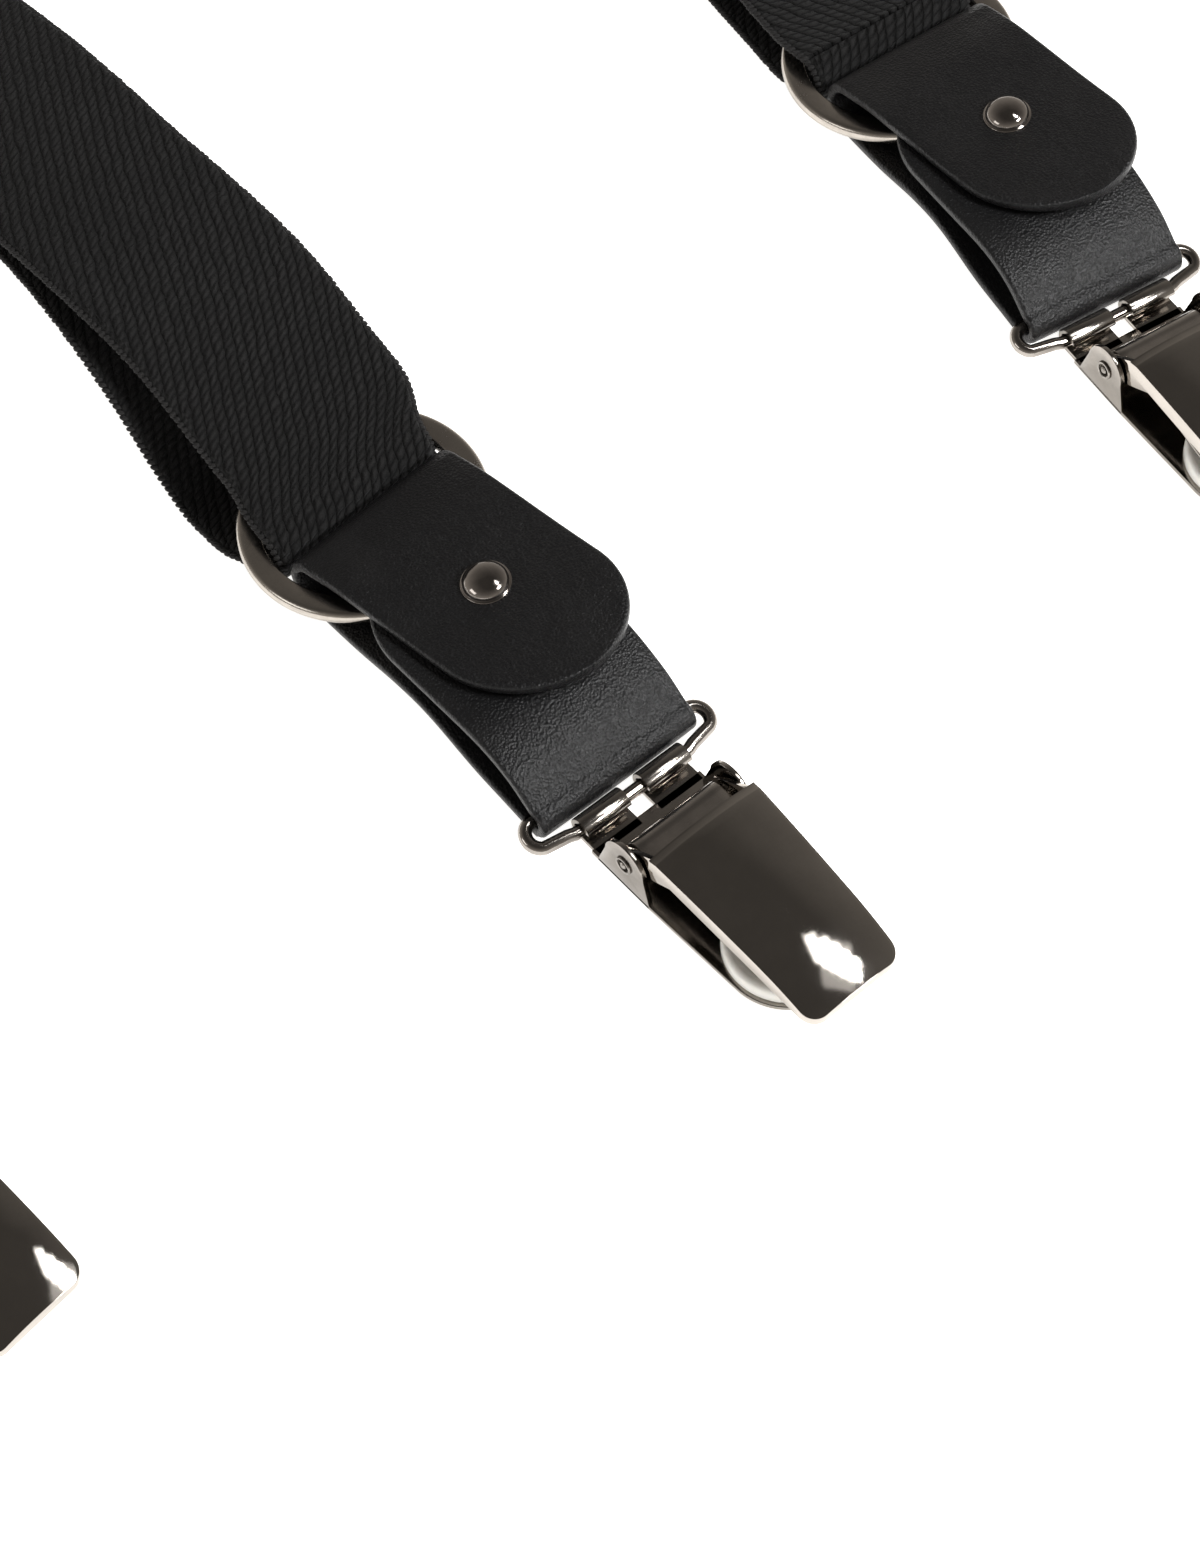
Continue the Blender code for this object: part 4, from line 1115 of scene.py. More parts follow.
@dataclass
class LeatherTab:
    """One folded leather strip: top flap, ring fold, bottom, wire fold and hidden end."""

    place: EndPlace
    width: float = SIZES.tab_width
    thickness: float = SIZES.leather
    finish: Leather = Leather()
    edge: CutEdge = CutEdge()

    def path(self) -> Path:
        """Centre line from the flap's tip to the hidden tip, as (distance, height)."""
        s = SIZES
        half = s.leather / 2.0
        over = s.ring_thickness / 2.0 + s.gap + half
        middle = s.ring_level(s.ring_outer) + over
        flap = middle + s.leather + s.gap
        hidden = s.tab_length - s.under_flap
        top, foot = flap - 1.4 * MM, s.ring_level(0.0) - over - 1.1 * MM
        radius = (top - foot) / 2.0
        centre = (radius + half + 0.4 * MM, top - radius)
        bar = s.wide_bar_height
        fold = s.wire + s.gap + half
        upper = [(s.flap_length, flap + 2.0 * MM), (s.rivet_at + 10.0 * MM, flap + 1.2 * MM),
                 (s.rivet_at, flap + 0.4 * MM), (s.bore, flap - 0.1 * MM),
                 (hidden, flap - 0.5 * MM)]
        lower = [(s.bore, foot + 0.7 * MM), (s.rivet_at, foot + 2.2 * MM),
                 (s.tab_length * 0.6, foot + 2.0 * MM), (s.tab_length * 0.8, bar - 0.6 * MM)]
        back = [(s.tab_length - 5.0 * MM, bar + fold + 3.2 * MM),
                (s.tab_length - 12.0 * MM, middle - 0.2 * MM),
                (s.rivet_at + 9.0 * MM, middle + 0.35 * MM), (s.rivet_at, middle + 0.2 * MM),
                (s.ring_outer, middle), (hidden, middle - 0.6 * MM)]
        points = (upper + arc(centre, radius, 90.0, 270.0, 8) + lower
                  + arc((s.tab_length, bar), fold, -90.0, 90.0, 8) + back)
        return smooth_curve(points, 10)

    def build(self) -> bpy.types.Mesh:
        """The whole strip with rounded tips and edges."""
        fine = self.path()
        whole = running_lengths(fine)[-1]
        half = self.width / 2.0
        near = [half * (1.0 - math.cos(0.5 * math.pi * k / 22)) for k in range(23)]
        middle = [near[-1] + l for l in spaced(whole - 2.0 * near[-1], 0.7 * MM)[1:-1]]
        places = near + middle + [whole - l for l in reversed(near)]
        path = stations(fine, places)
        fold = min(range(len(path)), key=lambda i: path[i][0])

        def half_width(i: int) -> float:
            """Half width, round at both tips."""
            tip = min(places[i], whole - places[i])
            if tip >= half:
                return half
            return half * math.sqrt(max(0.0006, 1.0 - (1.0 - tip / half) ** 2))

        def shift(i: int) -> float:
            """Sideways swing of the top flap."""
            skew = max(0.0, path[i][0] - 2.0 * MM) * math.tan(SIZES.flap_skew)
            return skew if i <= fold else 0.0

        def roll(i: int) -> float:
            """The ring's roll at its fold, none at the wire."""
            gone = smooth_step((path[i][0] - SIZES.rivet_at - 4.0 * MM) / (22.0 * MM))
            return SIZES.ring_roll if i <= fold else SIZES.ring_roll * (1.0 - gone)

        strip = Strip(path, self.thickness, half_width, shift, roll, 16, 16, 0.55 * MM,
                      0.12 * MM)
        mesh = strip.skin().mesh("leather_tab")
        mesh.transform(self.place.matrix)
        return shaded(mesh, 60.0)

    def dress(self) -> None:
        label = self.place.label
        length = running_lengths(self.path())[-1]
        piece = settle("leather_strip_" + label, self.build(), "tab_" + label,
                       ["leather_tab_" + label], Slot.LEATHER,
                       [self.finish.make("box_leather_" + label),
                        self.edge.make("edge_paint_" + label)])


@dataclass
class Rivet:
    """Low polished cap with a thin rolled rim."""

    place: EndPlace
    radius: float = 3.9 * MM
    height: float = 2.2 * MM
    finish: Metal = Metal((0.33, 0.30, 0.275), (0.22, 0.20, 0.185), 0.06, 0.05, 0.005)
    post: Metal = Metal((0.42, 0.40, 0.37), (0.3, 0.28, 0.26), 0.3)

    def seat(self) -> Matrix:
        """Frame of the cap on top of the flap."""
        path = LeatherTab(self.place).path()
        fold = min(range(len(path)), key=lambda i: path[i][0])
        for a, b in zip(path[:fold], path[1:fold]):
            if min(a[0], b[0]) <= SIZES.rivet_at <= max(a[0], b[0]):
                slope = (b[1] - a[1]) / (b[0] - a[0])
                top = a[1] + slope * (SIZES.rivet_at - a[0])
                break
        normal = Vector((-math.tan(SIZES.ring_roll), slope, 1.0)).normalized()
        shift = (SIZES.rivet_at - 2.0 * MM) * math.tan(SIZES.flap_skew)
        seat = Vector((shift, -SIZES.rivet_at, top)) + normal * (SIZES.leather / 2.0)
        turn = Vector((0.0, 0.0, 1.0)).rotation_difference(normal).to_matrix().to_4x4()
        return Matrix.Translation(seat) @ turn

    def build(self) -> bpy.types.Mesh:
        """The cap: flat brim, then a low dome."""
        r, brim = self.radius, 0.38 * MM
        profile = [(0.0, -0.25 * MM), (r - 0.2 * MM, -0.25 * MM), (r, -0.05 * MM)]
        profile += [(r - 0.14 * MM + 0.14 * MM * math.cos(a), brim - 0.16 * MM
                     + 0.16 * MM * math.sin(a)) for a in [math.radians(22.5 * k)
                                                          for k in range(5)]]
        dome = r - 0.34 * MM
        profile += [(dome * math.cos(a), brim - 0.03 * MM + (self.height + 0.25 * MM - brim)
                     * math.sin(a)) for a in [math.radians(5.0 * k) for k in range(1, 18)]]
        profile.append((0.0, self.height + 0.22 * MM))
        mesh = turned("rivet_cap", profile, 64)
        mesh.transform(self.place.matrix @ self.seat())
        return shaded(mesh, 40.0)

    def dress(self) -> None:
        """Finishes the cap, and the post that the pack carries."""
        label = self.place.label
        settle("rivet_dome_" + label, self.build(), "tab_" + label, ["rivet_cap_" + label],
               Slot.MIRROR, [self.finish.make("rivet_polish_" + label)])
        repaint("rivet_post_" + label, self.post.make("rivet_steel_" + label))


@dataclass
class ClipLoop:
    """Bent wire link: wide bar in the leather, narrow bar in the clip."""

    place: EndPlace
    radius: float = SIZES.wire
    corner: float = 2.25 * MM
    finish: Metal = Metal((0.36, 0.33, 0.30), (0.25, 0.23, 0.21), 0.07, 0.06, 0.008)

    def build(self) -> bpy.types.Mesh:
        """A round wire swept along the link's outline."""
        s = SIZES
        straight = s.tab_width / 2.0 + 0.1 * MM
        bend = arc((straight, self.corner), self.corner, -90.0, 62.0, 14)
        foot = [(s.ear_outer + 1.6 * MM, s.loop_pitch - 0.42 * MM),
                (s.ear_outer + 0.5 * MM, s.loop_pitch - 0.06 * MM),
                (s.ear_outer - 0.6 * MM, s.loop_pitch)]
        right = bend + foot + [(s.ear_outer * k, s.loop_pitch) for k in (0.7, 0.4, 0.15)]
        outline = right + [(-x, d) for x, d in reversed(right)]
        fall = (s.wide_bar_height - s.lower_bar_height) / s.loop_pitch
        centre = [Vector((x, -(s.tab_length + d), s.wide_bar_height - fall * d))
                  for x, d in outline]
        rows = []
        for i, point in enumerate(centre):
            along = (centre[(i + 1) % len(centre)] - centre[i - 1]).normalized()
            side = along.cross(Vector((0.0, 0.0, 1.0))).normalized()
            rise = side.cross(along)
            rows.append([point + (side * math.cos(a) + rise * math.sin(a)) * self.radius
                         for a in [2.0 * math.pi * (k + 0.5) / 20 for k in range(20)]])
        across = [2.0 * math.pi * self.radius / MM * k / 20 for k in range(21)]
        along_mm = [float(k) for k in range(len(rows) + 1)]
        mesh = Skin(rows, across, along_mm, True).mesh("clip_loop")
        mesh.transform(self.place.matrix)
        return shaded(mesh, 60.0)

    def dress(self) -> None:
        """Finishes the link and seats it on its body."""
        label = self.place.label
        settle("wire_link_" + label, self.build(), "loop_" + label, ["clip_loop_" + label],
               Slot.MIRROR, [self.finish.make("wire_plate_" + label)])


@dataclass
class ClipBase:
    """Stamped base with rolled knuckles and pierced ears, its pin and its pad."""

    place: EndPlace
    ear_radius: float = 4.1 * MM
    ear_foot: float = 11.5 * MM
    slot: float = 3.4 * MM
    finish: Metal = Metal((0.34, 0.315, 0.285), (0.24, 0.22, 0.20), 0.09, 0.09, 0.009)
    pin_finish: Metal = Metal((0.36, 0.335, 0.305), (0.22, 0.205, 0.19), 0.16, 0.10, 0.012)

    def build(self) -> bpy.types.Mesh:
        """Plate, knuckles and ears."""
        s = SIZES
        foot, under, top = s.lower_bar_at + 3.0 * MM, 0.3 * MM, 0.3 * MM + s.gauge
        side, out = s.ear_outer, s.ear_inner
        front = s.pin_at + self.ear_foot * 0.5
        end = arc((0.0, s.pad_at), s.pad_radius + 0.5 * MM, 4.0, 176.0, 40)
        plan = [(-side, foot), (side, foot), (side, front)] + end + [(-side, front)]

        def flat(a: float, b: float, level: float) -> Vector:
            """Plan to space."""
            return Vector((a, -b, level + under))

        parts = [slab("plate", plan, 0.0, s.gauge, flat, 0.16 * MM)]
        axle = (s.lower_bar_at, s.lower_bar_height)
        outer = arc(axle, s.knuckle_inner + s.gauge, -90.0, -340.0, 30)
        inner = arc(axle, s.knuckle_inner, -340.0, -90.0, 30)
        hook = outer + inner + [(foot + 1.5 * MM, top), (foot + 1.5 * MM, under)]
        half = self.slot / 2.0
        for low, high in ((-side + 0.4 * MM, -half), (half, side - 0.4 * MM)):
            parts.append(slab("knuckle", hook, 0.0, high - low,
                              lambda a, b, level, low=low: Vector((level + low, -a, b)),
                              0.14 * MM))
        crown = arc((s.pin_at, s.pin_rise), self.ear_radius, 0.0, 180.0, 26)
        ear = crown + [(s.pin_at - self.ear_foot / 2.0, under),
                       (s.pin_at + self.ear_foot / 2.0 - 0.1 * MM, under)]
        hole = arc((s.pin_at, s.pin_rise), s.pin_radius + 0.15 * MM, 0.0, 345.0, 23)
        for low in (-side, out):
            parts.append(slab("ear", ear, 0.0, s.gauge,
                              lambda a, b, level, low=low: Vector((level + low, -a, b)),
                              0.16 * MM, hole))
        mesh = joined("clip_base", parts)
        mesh.transform(self.place.matrix)
        return shaded(mesh)

    def build_pin(self) -> bpy.types.Mesh:
        """Pin with peened heads."""
        s = SIZES
        face, r = s.ear_outer + 0.02 * MM, s.pin_radius
        head = [(r, face), (r * 1.50, face), (r * 1.55, face + 0.12 * MM),
                (r * 1.48, face + 0.26 * MM), (r * 1.30, face + 0.30 * MM),
                (r * 1.16, face + 0.22 * MM), (r * 1.08, face - 0.35 * MM),
                (r * 0.66, face - 0.40 * MM), (r * 0.58, face + 0.18 * MM),
                (r * 0.36, face + 0.34 * MM), (0.0, face + 0.30 * MM)]
        profile = [(a, -b) for a, b in reversed(head)] + head
        mesh = turned("hinge_pin", profile, 40)
        mesh.transform(self.place.matrix @ Matrix.Translation((0.0, -s.pin_at, s.pin_rise))
                       @ Matrix.Rotation(math.pi / 2.0, 4, "Y"))
        return shaded(mesh, 30.0)

    def build_pad(self) -> bpy.types.Mesh:
        """Round pad with a soft shoulder and a shallow dish."""
        s = SIZES
        low = 0.3 * MM + s.gauge + 0.05 * MM
        top = low + 0.25 * MM + s.pad_thickness
        r = s.pad_radius
        profile = [(0.0, low), (r - 0.3 * MM, low), (r, low + 0.4 * MM), (r, top - 1.2 * MM)]
        profile += arc((r - 1.0 * MM, top - 1.0 * MM), 1.0 * MM, 0.0, 90.0, 8)[1:]
        profile += [(r * 0.72, top - 0.04 * MM), (r * 0.4, top - 0.22 * MM),
                    (0.0, top - 0.28 * MM)]
        mesh = turned("grip_pad", profile, 96)
        mesh.transform(self.place.matrix @ Matrix.Translation((0.0, -s.pad_at, 0.0)))
        return shaded(mesh, 50.0)

    def dress(self) -> None:
        """Finishes base, pin and pad on the base's body."""
        label = self.place.label
        body = "base_" + label
        settle("clip_base_" + label, self.build(), body, ["base_plate_" + label],
               Slot.MIRROR, [self.finish.make("base_plate_metal_" + label)])
        settle("peened_pin_" + label, self.build_pin(), body, ["hinge_pin_" + label],
               Slot.SATIN, [self.pin_finish.make("pin_metal_" + label)])
        settle("nylon_pad_" + label, self.build_pad(), body, ["grip_pad_" + label],
               Slot.PAD, [Nylon().make("pad_nylon_" + label)])


@dataclass
class Cover:
    """Polished cover: crowned shell with turned-down sides, round corners and two lugs."""

    place: EndPlace
    setback: float = 4.6 * MM
    length: float = 32.6 * MM
    hinge_height: float = 13.4 * MM
    tip_height: float = 9.3 * MM
    crown: float = 0.9 * MM
    wall: float = 2.3 * MM
    flare: float = 0.6 * MM
    taper: float = 0.8 * MM
    corner: float = 2.6 * MM
    finish: Metal = Metal((0.46, 0.425, 0.385), (0.39, 0.36, 0.325), 0.03, 0.04, 0.003,
                          (0.5, 3.0, 1.0))

    def half(self, share: float) -> float:
        """Half width before the corners, at a share of the length."""
        return SIZES.clip_width / 2.0 + self.flare - (self.flare + self.taper) * share

    def top(self, share: float) -> float:
        """Height of the crown's ridge at a share of the length."""
        return self.hinge_height + (self.tip_height - self.hinge_height) * share

    def shell(self) -> bpy.types.Mesh:
        """The crowned plate, its skirt and its wall."""
        start = SIZES.pin_at + self.setback
        r = self.corner
        straight = spaced(self.length - r, 0.9 * MM)
        round_part = [self.length - r + r * math.sin(math.radians(9.0 * k))
                      for k in range(1, 11)]
        places = [0.0, 0.35 * MM, 1.25 * MM, 1.45 * MM] + [p for p in straight if p > 2.0 * MM]
        places += round_part
        columns = 28
        shape = bmesh.new()
        rows = []
        for s in places:
            share = s / self.length
            half = self.half(share)
            if s > self.length - r:
                gone = s - (self.length - r)
                half -= r - math.sqrt(max(0.0, r * r - gone * gone))
            level = self.top(share) - 0.30 * MM * smooth_step((1.35 * MM - s) / (0.5 * MM))
            level += 1.6 * MM * share * (1.0 - share)
            level -= 1.2 * MM * max(0.0, (s - self.length + 11.0 * MM) / (11.0 * MM)) ** 2
            row = []
            for k in range(columns + 1):
                t = -1.0 + 2.0 * k / columns
                bow = self.crown * (1.0 - abs(half * t / self.half(share)) ** 2.2)
                row.append(shape.verts.new((half * t, -(start + s), level - self.crown + bow)))
            rows.append(row)
        for near, far in zip(rows, rows[1:]):
            for k in range(columns):
                shape.faces.new((near[k], near[k + 1], far[k + 1], far[k]))
        rim = ([row[0] for row in rows] + rows[-1][1:-1] + [row[-1] for row in reversed(rows)])
        foot = self.tip_height - self.crown - self.wall
        lowered = []
        for vert in rim:
            share = (-vert.co.y - start) / self.length
            low = min(vert.co.z - 1.0 * MM,
                      foot + (self.hinge_height - self.tip_height) * (1.0 - share))
            lowered.append(shape.verts.new((vert.co.x, vert.co.y, low)))
        for k in range(len(rim) - 1):
            shape.faces.new((rim[k], rim[k + 1], lowered[k + 1], lowered[k]))
        bmesh.ops.recalc_face_normals(shape, faces=shape.faces)
        inside = set(rim)
        edges = [e for e in shape.edges if len(e.link_faces) == 2
                 and e.verts[0] in inside and e.verts[1] in inside
                 and e.calc_face_angle(0.0) > math.radians(40.0)]
        bmesh.ops.bevel(shape, geom=edges, offset=0.75 * MM, segments=5, affect="EDGES",
                        profile=0.5, clamp_overlap=True)
        bmesh.ops.recalc_face_normals(shape, faces=shape.faces)
        above = max(shape.faces, key=lambda f: f.calc_center_median().z)
        if above.normal.z < 0.0:
            bmesh.ops.reverse_faces(shape, faces=shape.faces)
        mesh = bpy.data.meshes.new("cover_shell")
        shape.to_mesh(mesh)
        shape.free()
        return thickened(mesh, SIZES.gauge)

    def build(self) -> bpy.types.Mesh:
        """Shell and lugs."""
        s = SIZES
        eye = arc((s.pin_at, s.pin_rise), 2.4 * MM, 150.0, 330.0, 18)
        start = s.pin_at + self.setback
        shoulder = self.hinge_height - self.crown - 0.5 * MM
        lug = eye + [(start + 6.5 * MM, shoulder - self.wall + 0.4 * MM),
                     (start + 6.5 * MM, shoulder - 0.8 * MM), (start + 0.25 * MM, shoulder)]
        hole = arc((s.pin_at, s.pin_rise), s.pin_radius + 0.15 * MM, 0.0, 345.0, 23)
        parts = [self.shell()]
        half = s.clip_width / 2.0
        for low in (-half, half - s.gauge):
            parts.append(slab("lug", lug, 0.0, s.gauge,
                              lambda a, b, level, low=low: Vector((level + low, -a, b)),
                              0.14 * MM, hole))
        mesh = joined("cover", parts)
        mesh.transform(self.place.matrix)
        return shaded(mesh, 30.0)

    def dress(self) -> None:
        """Finishes the cover and seats it on its body."""
        label = self.place.label
        settle("cover_shell_" + label, self.build(), "cover_" + label,
               ["cover_lever_" + label], Slot.MIRROR,
               [self.finish.make("cover_black_nickel_" + label)])


@dataclass
class JawLeaf:
    """Sprung jaw: curls round the pin and arches down to the pad."""

    place: EndPlace
    gauge: float = 0.7 * MM
    finish: Metal = Metal((0.38, 0.35, 0.32), (0.25, 0.23, 0.21), 0.13, 0.10, 0.012)

    def build(self) -> bpy.types.Mesh:
        """The leaf with eased edges and a round tip."""
        s = SIZES
        radius = s.pin_radius + 0.15 * MM + s.gap + self.gauge / 2.0
        curl = arc((s.pin_at, s.pin_rise), radius, 300.0, 80.0, 24)
        bite = 0.3 * MM + s.gauge + 2.0 * s.gap + s.pad_thickness + self.gauge / 2.0
        tip = s.pad_at + s.pad_radius * 0.45
        crest = s.pin_rise + radius + 0.5 * MM
        arch = [(s.pin_at + 5.5 * MM, crest), (s.pin_at + 12.0 * MM, crest - 0.6 * MM),
                (s.pad_at - 4.0 * MM, bite + 0.9 * MM), (tip - 2.0 * MM, bite + 0.05 * MM),
                (tip, bite)]
        path = [Vector(p) for p in curl] + smooth_curve([curl[-1]] + arch, 10)[1:]
        half = s.clip_width / 2.0 - s.gauge - 2.0 * s.gap
        lengths = running_lengths(path)

        def half_width(i: int) -> float:
            """Half width, eased at the tip."""
            left = lengths[-1] - lengths[i]
            return half - 1.6 * MM * (1.0 - smooth_step(left / (2.4 * MM)))

        strip = Strip(path, self.gauge, half_width, columns=10, under_columns=10,
                      edge=0.22 * MM)
        mesh = strip.skin().mesh("jaw_leaf")
        mesh.transform(self.place.matrix)
        return shaded(mesh, 50.0)

    def dress(self) -> None:
        """Finishes the leaf and seats it on its body."""
        label = self.place.label
        settle("sprung_leaf_" + label, self.build(), "jaw_" + label, ["jaw_leaf_" + label],
               Slot.SATIN, [self.finish.make("leaf_spring_" + label)])


def thickened(mesh: bpy.types.Mesh, gauge: float) -> bpy.types.Mesh:
    """Gives an open shell its wall, inwards.

    Args:
        mesh: The outer surface.
        gauge: The wall.

    Returns:
        The closed mesh.
    """
    holder = bpy.data.objects.new("wall", mesh)
    bpy.context.scene.collection.objects.link(holder)
    modifier = holder.modifiers.new("wall", "SOLIDIFY")
    modifier.thickness = gauge
    modifier.offset = -1.0
    modifier.use_even_offset = True
    graph = bpy.context.evaluated_depsgraph_get()
    made = bpy.data.meshes.new_from_object(holder.evaluated_get(graph))
    bpy.data.objects.remove(holder, do_unlink=True)
    return made


def repaint(node: str, finish: bpy.types.Material) -> None:
    """Gives a carried-over CAD node its finish."""
    piece = bpy.data.objects[node]
    piece.data.materials.clear()
    piece.data.materials.append(finish)
    LOG.info("%s: carried over", node)


# ------------------------------------------------------------------ webbing

def selvedge(skin_rows: list[list[Vector]], columns: Sequence[int], skip: int = 2) -> list[Path]:
    """Lines along a strap's two edges, from its rows."""
    return [[row[c] for row in skin_rows[skip:-skip]] for c in columns]


@dataclass
class WebStrap:
    """Shared making of a webbing piece: finish and selvedge yarns."""

    place: EndPlace
    width: float = SIZES.web_width
    weave: Webbing = Webbing()

    def finished(self, name: str, skin: Skin, body: Optional[str], nodes: Sequence[str],
                 under: int) -> tuple[bpy.types.Object, bpy.types.Object]:
        """Makes the strap and its selvedge yarns.

        Args:
            name: The strap's name.
            skin: Its rows in the end's frame.
            body: The body it rides on, or None.
            nodes: The CAD nodes it stands for.
            under: Columns on its under face, which place the right selvedge.

        Returns:
            The strap and its selvedge.
        """
        columns = (under + 4, len(skin.rows[0]) - 4)
        lines = [[self.place.matrix @ p for p in line]
                 for line in selvedge(skin.rows, columns)]
        mesh = skin.mesh(name)
        mesh.transform(self.place.matrix)
        shaded(mesh, 60.0)
        strap = settle(name, mesh, body, nodes, Slot.WEBBING, [self.weave.make(name + "_twill")])
        beads = BeadRow(0.98 * MM, 1.75 * MM, 0.95 * MM, 1.5 * MM, 0.22, 0.85, 11)
        yarn = Yarn().make(name + "_yarn")
        edge = settle(name + "_selvedge", beads.lay(name + "_selvedge", lines, yarn), body, [],
                      Slot.WEBBING, [yarn])
        return strap, edge


@dataclass
class BackStrap(WebStrap):
    """One loop of webbing: both ends in the patch, its middle through the back ring."""

    def path(self) -> Path:
        """Centre line as (distance, height), from the patch round the ring to the patch."""
        s = SIZES
        reach, entry = s.back_length + 24.0 * MM, -s.back_length + 8.0 * MM
        top, edge, foot = s.fold_height(), -s.ring_outer, s.fold_foot
        upper = [(-reach, s.upper_layer), (-s.back_length, s.upper_layer),
                 (entry, s.upper_layer + 0.2 * MM), (entry + 12.0 * MM, s.upper_layer + 1.6 * MM),
                 (-150.0 * MM, 13.0 * MM), (-120.0 * MM, 19.6 * MM), (-90.0 * MM, 24.5 * MM),
                 (-65.0 * MM, 25.2 * MM), (-50.0 * MM, 23.8 * MM), (-35.0 * MM, 20.4 * MM),
                 (-20.0 * MM, 14.8 * MM), (-10.0 * MM, top + 0.9 * MM)]
        lower = [(edge / 2.0, foot), (edge - 1.5 * MM, foot), (edge - 8.0 * MM, foot + 3.6 * MM),
                 (-38.0 * MM, 14.0 * MM), (-50.0 * MM, 18.4 * MM), (-65.0 * MM, 20.4 * MM),
                 (-90.0 * MM, 19.8 * MM), (-120.0 * MM, 14.2 * MM), (-150.0 * MM, 8.2 * MM),
                 (entry + 12.0 * MM, s.lower_layer + 1.0 * MM), (entry, s.lower_layer + 0.15 * MM),
                 (-s.back_length, s.lower_layer), (-reach, s.lower_layer)]
        return smooth_curve(upper + s.ring_fold(8) + lower, 8)

    def dress(self) -> None:
        fine = self.path()
        whole = running_lengths(fine)[-1]
        path = stations(fine, spaced(whole, 0.5 * MM))
        turn = max(range(len(path)), key=lambda i: path[i][0])

        def roll(i: int) -> float:
            """Roll: the ring's at the ring, easing to none at the patch."""
            along = -path[i][0]
            rise = smooth_step((along - 14.0 * MM) / (40.0 * MM))
            fall = 1.0 - smooth_step((along - 85.0 * MM) / (80.0 * MM))
            return (SIZES.ring_roll + (SIZES.arch_roll - SIZES.ring_roll) * rise) * fall

        def shift(i: int) -> float:
            """Sideways offset between the two layers near the ring."""
            along = -path[i][0]
            rise = smooth_step((along - 3.0 * MM) / (12.0 * MM))
            fall = 1.0 - smooth_step((along - 30.0 * MM) / (40.0 * MM))
            return rise * fall * (-1.8 * MM if i > turn else 2.5 * MM)

        strip = Strip(path, SIZES.web_thickness, lambda i: SIZES.web_half(path[i][0]) - 0.4 * MM,
                      shift, roll, 56, 14, 0.85 * MM, 0.0, TwillRelief())
        strap, edge = self.finished("back_webbing", strip.skin(), "straps", ["back_strap"], 14)


